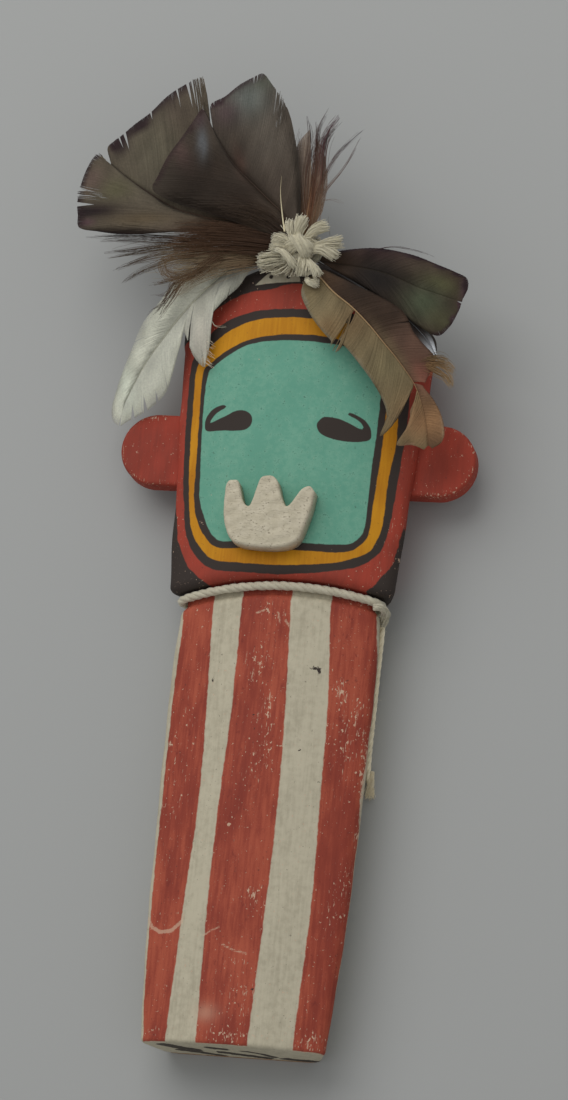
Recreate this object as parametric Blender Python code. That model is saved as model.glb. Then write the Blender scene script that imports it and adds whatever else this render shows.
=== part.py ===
# A flat carved kachina doll that lies on its back, with a string round its neck
# and a small fan of feathers tied at the top of its head.
# X runs across the doll, Y from the foot to the head, and Z up through its front.
# The origin is the middle of the flat back.
import math

import bpy
import bmesh
import numpy as np
from mathutils import Vector

MM = 0.001
SAME_POINT = 0.002 * MM

# The wood, carved from one piece. The carving is given in shares of its length:
# a carving step is one two-hundredth of it.
WOOD_LENGTH = 200 * MM
STEP = WOOD_LENGTH / 200
BODY_THICKNESS = 19 * MM
HEAD_THICKNESS = 22 * MM
FRONT_RADIUS = 66 * STEP
SIDE_TAPER = 4.1 * STEP
BACK_ROUNDING = 3.6 * STEP
FRONT_ROUNDING = 3.2 * STEP
TOP_ROUNDING = 5.0 * STEP
FOOT_Y = -WOOD_LENGTH / 2
HEAD_TOP_Y = WOOD_LENGTH / 2

# The neck is a groove that holds the string. It rises in an arch at the middle and
# sits a little higher at its right side. It is shallow in front and takes the whole
# string at the back, so that the back stays flat.
STRING_DIAMETER = 2.2 * MM
FIT_GAP = 0.3 * MM
GROOVE_DEPTH = 1.1 * MM
BACK_GROOVE_DEPTH = STRING_DIAMETER + 1.3 * FIT_GAP
GROOVE_WIDTH = STRING_DIAMETER + 4 * FIT_GAP
NECK_Y = 12.0 * STEP
NECK_ARCH = 3.1 * STEP
NECK_TILT = 0.03
NECK_ARCH_REACH = 34 * STEP
NECK_HALF_WIDTH = 26 * STEP

# The ears are flat D shapes at the sides of the head.
EAR_RADIUS = 9.3 * STEP
EAR_CENTRE_X = 36.3 * STEP
EAR_CENTRE_Y = 51 * STEP
EAR_ROOT_X = 27 * STEP
EAR_BACK_Z = 6.5 * MM
EAR_THICKNESS = 6.0 * MM

# The three-pronged mouth is a thin slab that is glued to the face.
MOUTH_THICKNESS = 4.4 * MM
MOUTH_EDGE = 0.6 * MM
MOUTH_X = -2.7 * STEP
MOUTH_Y = 31.5 * STEP

# The free end of the neck string lies beside the body.
TAIL_DIAMETER = 1.6 * MM

# The cotton that ties the feathers is a lump with loose ends.
TIE_RADIUS = 6.0 * MM
TIE_HALF_HEIGHT = 6.6 * MM
TIE_X = -1.7 * MM
TIE_Y = HEAD_TOP_Y + 1.6 * MM
TIE_Z = HEAD_THICKNESS + 2.9 * MM
TIE_END_WIDTH = 2.3 * MM

# The feathers leave the tie in layers. Away from the tie the layers part by a share of
# the distance, and a feather droops by its droop (1/m) times the distance squared.
FEATHER_THICKNESS = 0.6 * MM
LAYER_BASE_Z = HEAD_THICKNESS + 2.0 * MM
LAYER_PITCH = 1.1 * MM
LAYER_SPREAD = 0.03
FEATHER_DROOP = 0.8
PLUME_DROOP = 2.8
QUILL_HALF_WIDTH = 1.0 * MM
FEATHER_ROWS = 11
VANE_COLUMNS = 3
SHAFT_STEPS = 20


def new_material(name, color, roughness):
    material = bpy.data.materials.new(name)
    material.use_nodes = True
    shader = material.node_tree.nodes["Principled BSDF"]
    shader.inputs["Base Color"].default_value = (*color, 1.0)
    shader.inputs["Roughness"].default_value = roughness
    shader.inputs["Metallic"].default_value = 0.0
    return material


def mesh_object(name, points, faces):
    mesh = bpy.data.meshes.new(name)
    mesh.from_pydata([tuple(float(c) for c in p) for p in points], [], faces)
    solid = bmesh.new()
    solid.from_mesh(mesh)
    bmesh.ops.remove_doubles(solid, verts=solid.verts, dist=SAME_POINT)
    bmesh.ops.recalc_face_normals(solid, faces=solid.faces)
    solid.to_mesh(mesh)
    solid.free()
    item = bpy.data.objects.new(name, mesh)
    bpy.context.scene.collection.objects.link(item)
    return item


def as_cutter(item):
    item.hide_render = True
    item.display_type = "WIRE"
    return item


def combine(item, other, operation):
    modifier = item.modifiers.new(operation.title(), "BOOLEAN")
    modifier.object = as_cutter(other)
    modifier.operation = operation
    modifier.solver = "EXACT"


def finish(item, material, sharp_angle=math.radians(40)):
    item.data.materials.append(material)
    item.data.shade_smooth()
    item.data.set_sharp_from_angle(angle=sharp_angle)


# A Catmull-Rom curve through evenly numbered knots, read at the given places.
def smooth_curve(knots, places):
    knots = np.asarray(knots, dtype=float)
    padded = np.vstack([2 * knots[0] - knots[1], knots, 2 * knots[-1] - knots[-2]])
    spot = np.clip(np.asarray(places, dtype=float), 0, len(knots) - 1)
    cell = np.minimum(spot.astype(int), len(knots) - 2)
    t = (spot - cell)[:, None]
    a, b, c, d = (padded[cell + k] for k in range(4))
    return 0.5 * (2 * b + (c - a) * t + (2 * a - 5 * b + 4 * c - d) * t**2
                  + (3 * b - a - 3 * c + d) * t**3)


# Wood: the outline and the section at each place along the doll.

BODY_HALF_WIDTHS = (23.6, 24.8, 25.6, 26.1, 26.4, 26.5, 25.9)
HEAD_HALF_WIDTHS = (29.0, 29.9, 30.5, 31.6, 32.4, 32.9)
SHOULDER_Y = NECK_Y - GROOVE_WIDTH / 2
HEAD_BOTTOM_Y = NECK_Y + GROOVE_WIDTH / 2
HEAD_SHOULDER_Y = 77 * STEP
SHOULDER_ROUNDING = 2.4 * STEP
HEAD_BOTTOM_ROUNDING = 2.6 * STEP
TOP_CURVE_POWER = 1.68
TOP_ANGLES = (18, 32, 44, 54, 63, 71, 78, 84)
FOOT_ROUNDING = 1.0 * STEP
SECTION_POINTS = 3
SEAT_POINTS = 8
BODY_STATION_COUNT = 9
HEAD_STATION_COUNT = 8

# Where an end is rounded, the front falls by one share of the side's drop and the back
# rises by another. The head's lower edge is cut back a little more at its sides.
FRONT_DROP_SHARE = 0.7
BACK_RISE_SHARE = 0.3
HEAD_SIDE_SHARE = 1.1
TOP_BACK_SHARE = 0.15
FOOT_CENTRE_X = -0.5 * STEP
TOP_CENTRE_X = 0.5 * STEP


def spread_knots(half_widths, first_y, last_y, y):
    knots = np.column_stack([half_widths, half_widths])
    place = (y - first_y) / (last_y - first_y) * (len(half_widths) - 1)
    return float(smooth_curve(knots, [place])[0, 0]) * STEP


def centre_x(y):
    share = (y - FOOT_Y) / WOOD_LENGTH
    return FOOT_CENTRE_X + (TOP_CENTRE_X - FOOT_CENTRE_X) * share


# How far a rounded edge has fallen at a distance in from the end.
def quarter_drop(distance, radius):
    inside = min(max(distance, 0.0), radius)
    return radius - math.sqrt(radius**2 - (radius - inside) ** 2)


def neck_arch(x, y):
    reach = min(abs(y - NECK_Y) / NECK_ARCH_REACH, 1.0)
    fade = 0.5 + 0.5 * math.cos(math.pi * reach)
    return fade * (NECK_TILT * x + NECK_ARCH * max(1 - (x / NECK_HALF_WIDTH) ** 2, -0.2))


def front_rise(x, crest):
    return crest - x * x / (2 * FRONT_RADIUS)


def rounded_corner(before, corner, after, count):
    t = np.linspace(0, 1, count)[:, None]
    before, corner, after = (np.asarray(p, dtype=float) for p in (before, corner, after))
    return (1 - t) ** 2 * before + 2 * t * (1 - t) * corner + t**2 * after


def towards(start, goal, distance):
    start, goal = np.asarray(start, dtype=float), np.asarray(goal, dtype=float)
    return start + (goal - start) / np.linalg.norm(goal - start) * distance


# The right half of a section, from the middle of the back to the crest.
def half_section(half_width, crest, back, detail):
    back_half = half_width - SIDE_TAPER
    low_corner = (back_half, back)
    ridge = (half_width, front_rise(half_width, crest))
    back_round = min(BACK_ROUNDING, 0.3 * back_half)
    front_round = min(FRONT_ROUNDING, 0.3 * half_width)
    front_start = half_width - front_round
    flat = [(0.0, back), ((back_half - back_round) / 2, back)]
    low = rounded_corner((back_half - back_round, back), low_corner,
                         towards(low_corner, ridge, back_round), detail)
    high = rounded_corner(towards(ridge, low_corner, front_round), ridge,
                          (front_start, front_rise(front_start, crest)), detail + 1)
    front_x = np.linspace(front_start, 0, 2 * detail)[1:]
    front = np.column_stack([front_x, front_rise(front_x, crest)])
    return np.vstack([flat, low, high, front])


def full_section(half_width, crest, back, detail):
    right = half_section(half_width, crest, back, detail)
    left = right[1:-1][::-1] * (-1, 1)
    return np.vstack([right, left])


def body_width(y):
    return spread_knots(BODY_HALF_WIDTHS, FOOT_Y, SHOULDER_Y, y)


def head_width(y):
    return spread_knots(HEAD_HALF_WIDTHS, HEAD_BOTTOM_Y, HEAD_SHOULDER_Y, y)


# Each station is (y, half width, crest, back) before the neck's arch.
def wood_stations():
    stations = []
    body = np.linspace(FOOT_Y, SHOULDER_Y - SHOULDER_ROUNDING, BODY_STATION_COUNT)
    for y in [FOOT_Y, FOOT_Y + 0.3 * FOOT_ROUNDING, FOOT_Y + FOOT_ROUNDING, *body[1:]]:
        drop = quarter_drop(y - FOOT_Y, FOOT_ROUNDING)
        stations.append((y, body_width(y) - drop, BODY_THICKNESS - drop, 0.0))
    for share in (0.5, 0.8, 0.95):
        y = SHOULDER_Y - SHOULDER_ROUNDING * (1 - share)
        drop = quarter_drop(SHOULDER_Y - y, SHOULDER_ROUNDING)
        stations.append((y, body_width(y) - drop, BODY_THICKNESS - FRONT_DROP_SHARE * drop,
                         BACK_RISE_SHARE * drop))
    neck_width = body_width(SHOULDER_Y) - GROOVE_DEPTH
    neck_crest = BODY_THICKNESS - GROOVE_DEPTH
    for y in (SHOULDER_Y, NECK_Y, HEAD_BOTTOM_Y):
        stations.append((y, neck_width, neck_crest, BACK_GROOVE_DEPTH))
    for share in (0.05, 0.2, 0.5):
        y = HEAD_BOTTOM_Y + HEAD_BOTTOM_ROUNDING * share
        drop = quarter_drop(y - HEAD_BOTTOM_Y, HEAD_BOTTOM_ROUNDING)
        stations.append((y, head_width(y) - HEAD_SIDE_SHARE * drop,
                         HEAD_THICKNESS - FRONT_DROP_SHARE * drop, BACK_RISE_SHARE * drop))
    for y in np.linspace(HEAD_BOTTOM_Y + HEAD_BOTTOM_ROUNDING, HEAD_SHOULDER_Y,
                         HEAD_STATION_COUNT):
        stations.append((y, head_width(y), HEAD_THICKNESS, 0.0))
    rise = HEAD_TOP_Y - HEAD_SHOULDER_Y
    power = 2 / TOP_CURVE_POWER
    for angle in np.radians(TOP_ANGLES):
        y = HEAD_SHOULDER_Y + rise * math.sin(angle) ** power
        width = head_width(HEAD_SHOULDER_Y) * math.cos(angle) ** power
        drop = quarter_drop(HEAD_TOP_Y - y, TOP_ROUNDING)
        stations.append((y, width + SIDE_TAPER / 2, HEAD_THICKNESS - drop,
                         TOP_BACK_SHARE * drop))
    return stations


# The wood without its ears. Grow swells it evenly, for a cutter that leaves a gap.
def wood_loft(name, grow=0.0, detail=SECTION_POINTS):
    stations = wood_stations()
    rings = []
    for number, (y, half_width, crest, back) in enumerate(stations):
        end_shift = -grow if number == 0 else grow if number == len(stations) - 1 else 0.0
        section = full_section(half_width + grow, crest + grow, back - grow, detail)
        rings.append([(x + centre_x(y), y + end_shift + neck_arch(x, y), z) for x, z in section])
    count = len(rings[0])
    points = [p for ring in rings for p in ring]
    faces = []
    for row in range(len(rings) - 1):
        for k in range(count):
            after = (k + 1) % count
            faces.append((row * count + k, row * count + after,
                          (row + 1) * count + after, (row + 1) * count + k))
    faces.append(tuple(range(count)))
    faces.append(tuple(range((len(rings) - 1) * count, len(rings) * count)))
    return mesh_object(name, points, faces)


def extruded(name, outline, low_z, high_z):
    count = len(outline)
    points = [(x, y, low_z) for x, y in outline] + [(x, y, high_z) for x, y in outline]
    faces = [(k, (k + 1) % count, count + (k + 1) % count, count + k) for k in range(count)]
    faces.append(tuple(range(count)))
    faces.append(tuple(range(count, 2 * count)))
    return mesh_object(name, points, faces)


def ear(side):
    angles = np.linspace(-math.pi / 2, math.pi / 2, 15)
    outline = [(EAR_ROOT_X, EAR_CENTRE_Y - EAR_RADIUS)]
    outline += [(EAR_CENTRE_X + EAR_RADIUS * math.cos(a), EAR_CENTRE_Y + EAR_RADIUS * math.sin(a))
                for a in angles]
    outline.append((EAR_ROOT_X, EAR_CENTRE_Y + EAR_RADIUS))
    item = extruded("ear", [(side * x, y) for x, y in outline],
                    EAR_BACK_Z, EAR_BACK_Z + EAR_THICKNESS)
    bevel = item.modifiers.new("Edges", "BEVEL")
    bevel.width = 0.9 * MM
    bevel.segments = 2
    bevel.limit_method = "ANGLE"
    bevel.angle_limit = math.radians(50)
    return item


def make_figure():
    figure = wood_loft("wooden_figure")
    for side in (-1, 1):
        combine(figure, ear(side), "UNION")
    finish(figure, new_material("painted wood", (0.36, 0.06, 0.04), 0.6))
    return figure


# Mouth: the outline goes round from the left prong, in steps from its middle.

MOUTH_OUTLINE = (
    (-11.2, 8.0), (-9.5, 8.5), (-8.3, 6.2), (-6.7, 2.8), (-4.6, 2.3), (-3.6, 5.6),
    (-2.6, 9.0), (-0.4, 10.0), (1.4, 8.8), (2.9, 5.0), (4.4, 2.3), (6.0, 3.4),
    (7.6, 6.6), (9.7, 7.8), (11.5, 6.4), (11.4, 1.0), (10.2, -4.4), (8.3, -8.2),
    (3.0, -9.6), (-4.0, -9.5), (-9.0, -7.8), (-11.0, -3.0), (-11.8, 3.0),
)


def make_mouth():
    places = np.linspace(0, len(MOUTH_OUTLINE), 2 * len(MOUTH_OUTLINE), endpoint=False)
    looped = MOUTH_OUTLINE + MOUTH_OUTLINE[:1]
    outline = smooth_curve(looped, places) * STEP + (MOUTH_X, MOUTH_Y)
    mouth = extruded("mouth_piece", outline, HEAD_THICKNESS / 2, HEAD_THICKNESS * 2)
    combine(mouth, wood_loft("mouth_seat", grow=FIT_GAP, detail=SEAT_POINTS), "DIFFERENCE")
    front = wood_loft("mouth_front", grow=FIT_GAP + MOUTH_THICKNESS, detail=SEAT_POINTS)
    combine(mouth, front, "INTERSECT")
    bevel = mouth.modifiers.new("Edge", "BEVEL")
    bevel.width = MOUTH_EDGE
    bevel.segments = 2
    bevel.limit_method = "ANGLE"
    bevel.angle_limit = math.radians(60)
    finish(mouth, new_material("white mouth", (0.55, 0.54, 0.48), 0.8))
    return mouth


# String: a ring in the neck's groove and a free end.

RING_POINT_COUNT = 44


def tube(name, points, diameter, closed, material):
    curve = bpy.data.curves.new(name, "CURVE")
    curve.dimensions = "3D"
    curve.bevel_depth = diameter / 2
    curve.bevel_resolution = 2
    curve.use_fill_caps = not closed
    spline = curve.splines.new("POLY")
    spline.points.add(len(points) - 1)
    spline.points.foreach_set("co", [c for p in points for c in (*p, 1.0)])
    spline.use_cyclic_u = closed
    curve.materials.append(material)
    item = bpy.data.objects.new(name, curve)
    bpy.context.scene.collection.objects.link(item)
    return item


def even_loop(points, count):
    closed = np.vstack([points, points[:1]])
    lengths = np.r_[0, np.cumsum(np.linalg.norm(np.diff(closed, axis=0), axis=1))]
    wanted = np.linspace(0, lengths[-1], count, endpoint=False)
    return np.column_stack([np.interp(wanted, lengths, closed[:, k]) for k in range(closed.shape[1])])


def string_loop():
    clear = FIT_GAP + STRING_DIAMETER / 2
    half_width = body_width(SHOULDER_Y) - GROOVE_DEPTH + clear
    section = full_section(half_width, BODY_THICKNESS - GROOVE_DEPTH + clear,
                           BACK_GROOVE_DEPTH - clear, SEAT_POINTS)
    section = even_loop(section, RING_POINT_COUNT)
    return [(x + centre_x(NECK_Y), NECK_Y + neck_arch(x, NECK_Y), z) for x, z in section]


# The free end starts below the ring and falls beside the body to the floor. Each point of
# its route is (outward from the wood's side, along the body, up from the floor) in mm,
# counted from the ring's lower edge.
TAIL_ROUTE = ((0.3, -0.6, 8.6), (0.3, -3.4, 7.6), (0.3, -7.4, 6.0), (0.3, -12.4, 3.6),
              (0.3, -19.4, 1.6), (0.3, -27.4, 0.8), (0.4, -34.4, 0.8), (0.8, -39.4, 0.8),
              (1.8, -43.9, 0.8))
TAIL_POINTS = 18
SIDE_HEIGHT = front_rise(body_width(SHOULDER_Y), BODY_THICKNESS)
TAIL_START_Y = NECK_Y + neck_arch(body_width(SHOULDER_Y), NECK_Y) - STRING_DIAMETER / 2


# The tail's middle stays beside the wood's side.
def tail_point(out, along, up):
    y = TAIL_START_Y + along
    z = max(up, TAIL_DIAMETER / 2)
    side_x = centre_x(y) + body_width(min(y, SHOULDER_Y)) - SIDE_TAPER * (1 - z / SIDE_HEIGHT)
    return (side_x + out + TAIL_DIAMETER / 2, y, z)


def make_string():
    cotton = new_material("cotton string", (0.5, 0.5, 0.44), 0.9)
    tube("neck_string", string_loop(), STRING_DIAMETER, True, cotton)
    places = np.linspace(0, len(TAIL_ROUTE) - 1, TAIL_POINTS)
    points = [tail_point(*step) for step in smooth_curve(TAIL_ROUTE, places) * MM]
    tube("neck_string_tail", points, TAIL_DIAMETER, False, cotton)


# Tie: the lump and its loose cotton ends, each (bearing, length, height above the middle).

TIE_ENDS = ((92, 8.0, 4.9), (38, 10.5, 4.7), (4, 12.0, 4.9), (-40, 11.0, 4.6),
            (-72, 11.5, 3.6), (176, 8.0, 4.8))
TIE_END_SIDES = 8
TIE_END_FLATNESS = 0.75
TIE_END_WIDTHS = ((0.15, 1.0), (0.6, 1.0), (0.85, 1.15), (1.0, 0.8))


def tie_lump(name, grow=0.0):
    lump = bmesh.new()
    bmesh.ops.create_icosphere(lump, subdivisions=3, radius=1.0)
    for vert in lump.verts:
        spot = vert.co
        swell = 1 + 0.04 * math.sin(5 * spot.x + 2) * math.cos(4 * spot.y)
        swell += 0.03 * math.sin(7 * spot.z)
        vert.co = Vector((TIE_X + spot.x * (TIE_RADIUS * swell + grow),
                          TIE_Y + spot.y * (TIE_RADIUS * swell + grow),
                          TIE_Z + spot.z * (TIE_HALF_HEIGHT * swell + grow)))
    mesh = bpy.data.meshes.new(name)
    lump.to_mesh(mesh)
    lump.free()
    item = bpy.data.objects.new(name, mesh)
    bpy.context.scene.collection.objects.link(item)
    return item


def tie_end(bearing, length, height):
    turn = math.radians(bearing)
    along = np.array((math.cos(turn), math.sin(turn)))
    across = np.array((-along[1], along[0]))
    points = []
    for share, width in TIE_END_WIDTHS:
        spot = np.array((TIE_X, TIE_Y)) + along * length * MM * share
        half = TIE_END_WIDTH / 2 * width
        for k in range(TIE_END_SIDES):
            angle = 2 * math.pi * k / TIE_END_SIDES
            x, y = spot + across * half * math.cos(angle)
            z = TIE_Z + height * MM + TIE_END_FLATNESS * half * math.sin(angle)
            points.append((x, y, z))
    faces = []
    for start in range(0, len(points) - TIE_END_SIDES, TIE_END_SIDES):
        for k in range(TIE_END_SIDES):
            after = (k + 1) % TIE_END_SIDES
            faces.append((start + k, start + after, start + TIE_END_SIDES + after,
                          start + TIE_END_SIDES + k))
    faces.append(tuple(range(TIE_END_SIDES)))
    faces.append(tuple(range(len(points) - TIE_END_SIDES, len(points))))
    return mesh_object("tie_end", points, faces)


def make_tie():
    tie = tie_lump("feather_tie")
    for bearing, length, height in TIE_ENDS:
        combine(tie, tie_end(bearing, length, height), "UNION")
    combine(tie, wood_loft("tie_seat", grow=FIT_GAP, detail=SEAT_POINTS), "DIFFERENCE")
    finish(tie, new_material("loose cotton", (0.62, 0.57, 0.4), 0.95))
    return tie


# Feathers: the shaft is an arc from the tie, and each side's barbs grow to a longest one
# and shrink to the tip. A vane is (longest, its place, barb at the tip, first angle, last angle).

FEATHERS = {
    "brown_feather_left": dict(
        layer=2, base=(-1.0, 0.8), bearing=174, turn=-29, length=55.5,
        left=(33.8, 0.47, 3.0, 29, 18), right=(40.0, 0.44, 5.0, 81, 37),
        color=(0.09, 0.07, 0.045)),
    "brown_feather_top": dict(
        layer=3, base=(-1.4, 2.9), bearing=137, turn=-6, length=36.0,
        left=(25.0, 0.57, 3.0, 85, 52), right=(27.0, 0.60, 6.5, 86, 32),
        color=(0.05, 0.045, 0.04)),
    "wispy_feather": dict(
        layer=2, base=(2.0, 1.8), bearing=89, turn=0, length=32.0,
        left=(5.9, 0.49, 2.0, 65, 72), right=(11.0, 0.81, 6.5, 118, 99),
        color=(0.12, 0.1, 0.08)),
    "bronze_feather": dict(
        layer=1, base=(4.5, -3.0), bearing=-9, turn=-16, length=39.8,
        left=(9.0, 0.47, 6.8, 106, 99), right=(13.0, 0.64, 6.0, 48, 68),
        color=(0.05, 0.045, 0.03)),
    "tan_feather": dict(
        layer=2, base=(4.0, -6.4), bearing=-36, turn=-38, length=57.0,
        left=(9.2, 0.39, 5.0, 53, 98), right=(11.4, 0.17, 7.1, 134, 95),
        color=(0.3, 0.2, 0.11)),
    "downy_feather": dict(
        layer=1, base=(-3.6, -1.3), bearing=-171, turn=17, length=38.0,
        left=(10.0, 0.83, 1.0, 125, 60), right=(24.0, 0.85, 11.0, 35, 54),
        color=(0.16, 0.12, 0.08)),
    "white_plume": dict(
        layer=0, base=(-3.0, -1.0), bearing=-172, turn=79, length=60.0, droop=PLUME_DROOP,
        left=(13.5, 0.54, 4.5, 63, 75), right=(5.0, 0.26, 6.5, 127, 78),
        color=(0.5, 0.5, 0.44)),
    "small_white_feather": dict(
        layer=0, base=(4.5, -3.0), bearing=-28, turn=-13, length=39.2,
        left=(3.3, 0.85, 0.7, 93, 94), right=(3.3, 0.32, 1.4, 85, 89),
        color=(0.55, 0.55, 0.52)),
}


def layer_height(layer, distance, droop):
    lift = layer * (LAYER_PITCH + LAYER_SPREAD * distance)
    return LAYER_BASE_Z + lift - droop * distance**2


def barb_length(t, vane):
    longest, place, tip = vane[:3]
    rising = QUILL_HALF_WIDTH / MM + (longest - QUILL_HALF_WIDTH / MM) * np.clip(t / place, 0, 1)
    falling = longest + (tip - longest) * np.clip((t - place) / (1 - place), 0, 1)
    return np.where(t < place, rising, falling) * MM


def barb_angle(t, vane):
    first, last = vane[3:]
    return np.radians(first + (last - first) * t)


# Points along the feather's shaft, an even arc from its base, and the heading at each.
def shaft_line(spec):
    t = np.linspace(0, 1, SHAFT_STEPS * (FEATHER_ROWS - 1) + 1)
    heading = np.radians(spec["bearing"] + spec["turn"] * t)
    stride = spec["length"] * MM / (len(heading) - 1)
    middle = (heading[1:] + heading[:-1]) / 2
    steps = np.column_stack([np.cos(middle), np.sin(middle)]) * stride
    base = np.array((TIE_X, TIE_Y)) + np.array(spec["base"]) * MM
    line = base + np.vstack([(0, 0), np.cumsum(steps, axis=0)])
    return line[::SHAFT_STEPS], heading[::SHAFT_STEPS]


# Plan points of a feather: row by row from the base, each from its left edge to its right.
def feather_rows(spec):
    shaft, heading = shaft_line(spec)
    t = np.linspace(0, 1, FEATHER_ROWS)
    edges = {}
    for side, sign in (("left", 1), ("right", -1)):
        angle = heading + sign * barb_angle(t, spec[side])
        reach = barb_length(t, spec[side])[:, None]
        edges[side] = shaft + reach * np.column_stack([np.cos(angle), np.sin(angle)])
    shares = np.linspace(0, 1, VANE_COLUMNS + 1)[1:]
    left = [shaft + (edges["left"] - shaft) * share for share in shares[::-1]]
    right = [shaft + (edges["right"] - shaft) * share for share in shares]
    return np.stack([*left, shaft, *right], axis=1)


# The numbers of the points round the edge of a grid of rows and columns.
def grid_rim(rows, columns):
    number = np.arange(rows * columns).reshape(rows, columns)
    parts = (number[0], number[1:, -1], number[-1, -2::-1], number[-2:0:-1, 0])
    return [int(k) for k in np.concatenate(parts)]


def make_feather(name, spec):
    plan = feather_rows(spec)
    rows, columns = plan.shape[:2]
    flat = plan.reshape(-1, 2)
    distance = np.linalg.norm(flat - (TIE_X, TIE_Y), axis=1)
    height = layer_height(spec["layer"], distance, spec.get("droop", FEATHER_DROOP))
    upper = np.column_stack([flat, height + FEATHER_THICKNESS / 2])
    lower = np.column_stack([flat, height - FEATHER_THICKNESS / 2])
    below = rows * columns
    faces = []
    for row in range(rows - 1):
        for k in range(columns - 1):
            a = row * columns + k
            corners = (a, a + 1, a + columns + 1, a + columns)
            faces.append(corners)
            faces.append(tuple(below + c for c in reversed(corners)))
    rim = grid_rim(rows, columns)
    for here, after in zip(rim, rim[1:] + rim[:1]):
        faces.append((after, here, below + here, below + after))
    feather = mesh_object(name, np.vstack([upper, lower]), faces)
    combine(feather, tie_lump("tie_gap", grow=FIT_GAP), "DIFFERENCE")
    finish(feather, new_material(name, spec["color"], 0.6))
    return feather


for item in list(bpy.data.objects):
    bpy.data.objects.remove(item)

make_figure()
make_mouth()
make_string()
make_tie()
for feather_name, feather_spec in FEATHERS.items():
    make_feather(feather_name, feather_spec)
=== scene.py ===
import math

import bpy
import numpy as np
from mathutils import Matrix, Vector


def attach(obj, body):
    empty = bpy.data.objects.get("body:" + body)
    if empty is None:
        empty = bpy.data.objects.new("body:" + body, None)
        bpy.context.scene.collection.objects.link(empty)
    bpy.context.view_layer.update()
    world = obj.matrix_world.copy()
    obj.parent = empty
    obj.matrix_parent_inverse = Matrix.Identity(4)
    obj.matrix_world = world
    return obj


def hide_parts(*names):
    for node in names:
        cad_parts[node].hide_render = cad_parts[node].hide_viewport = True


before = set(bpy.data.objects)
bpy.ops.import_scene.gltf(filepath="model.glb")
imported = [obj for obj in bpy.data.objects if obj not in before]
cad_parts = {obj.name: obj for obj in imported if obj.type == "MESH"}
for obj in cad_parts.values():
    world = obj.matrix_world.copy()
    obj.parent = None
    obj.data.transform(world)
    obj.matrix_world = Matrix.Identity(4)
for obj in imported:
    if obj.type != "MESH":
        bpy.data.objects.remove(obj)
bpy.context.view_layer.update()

# Sizes and places are millimetres in the part's frame. X runs across the doll, Y from
# the foot to the head, and Z up through its front. Meshes are written in metres.
mm = 0.001


# Camera: it looks down on the lying doll, from a little to the right and the foot.

camera = dict(target=(-0.8, 26.3, 12.0), distance=1120.0, fromRight=12.67,
              fromFoot=14.82, roll=5.95, lens=146.55, sensor=36.0)


def placeCamera():
    right, foot, roll = (math.radians(camera[k]) for k in ("fromRight", "fromFoot", "roll"))
    back = Vector((math.sin(right) * math.cos(foot), -math.sin(foot),
                   math.cos(right) * math.cos(foot)))
    headward = Vector((0, 1, 0))
    up = (headward - headward.dot(back) * back).normalized()
    side = up.cross(back)
    turnedSide = math.cos(roll) * side + math.sin(roll) * up
    turnedUp = math.cos(roll) * up - math.sin(roll) * side
    spot = (Vector(camera["target"]) + back * camera["distance"]) * mm
    data = bpy.data.cameras.new("camera")
    data.sensor_fit = "VERTICAL"
    data.sensor_height = camera["sensor"]
    data.lens = camera["lens"]
    item = bpy.data.objects.new("camera", data)
    item.matrix_world = Matrix([(*row, place) for *row, place in
                                zip(turnedSide, turnedUp, back, spot)] + [(0, 0, 0, 1)])
    bpy.context.scene.collection.objects.link(item)
    bpy.context.scene.camera = item


placeCamera()


# Curves and meshes

# A Catmull-Rom curve through evenly numbered knots, read at the given places.
def smoothCurve(knots, places):
    knots = np.asarray(knots, dtype=float)
    padded = np.vstack([2 * knots[0] - knots[1], knots, 2 * knots[-1] - knots[-2]])
    spot = np.clip(np.asarray(places, dtype=float), 0, len(knots) - 1)
    cell = np.minimum(spot.astype(int), len(knots) - 2)
    t = (spot - cell)[:, None]
    a, b, c, d = (padded[cell + k] for k in range(4))
    return 0.5 * (2 * b + (c - a) * t + (2 * a - 5 * b + 4 * c - d) * t**2
                  + (3 * b - a - 3 * c + d) * t**3)


# The same curve, read at even steps of its length.
def evenCurve(knots, count):
    fine = smoothCurve(knots, np.linspace(0, len(knots) - 1, 40 * len(knots)))
    lengths = np.r_[0, np.cumsum(np.linalg.norm(np.diff(fine, axis=0), axis=1))]
    wanted = np.linspace(0, lengths[-1], count)
    return np.column_stack([np.interp(wanted, lengths, column) for column in fine.T])


# A closed Catmull-Rom outline as points, the last one beside the first.
def smoothLoop(knots, count):
    knots = np.asarray(knots, dtype=float)
    around = np.vstack([knots[-2:], knots, knots[:3]])
    places = 2 + np.arange(count) * len(knots) / count
    return smoothCurve(around, places)


def unit(vectors):
    return vectors / np.maximum(np.linalg.norm(vectors, axis=-1, keepdims=True), 1e-9)


# The two directions across paths: sideways, and the one that up leans to.
def across(along, up):
    side = unit(np.cross(np.broadcast_to(np.asarray(up, dtype=float), along.shape), along))
    return side, np.cross(along, side)


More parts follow.
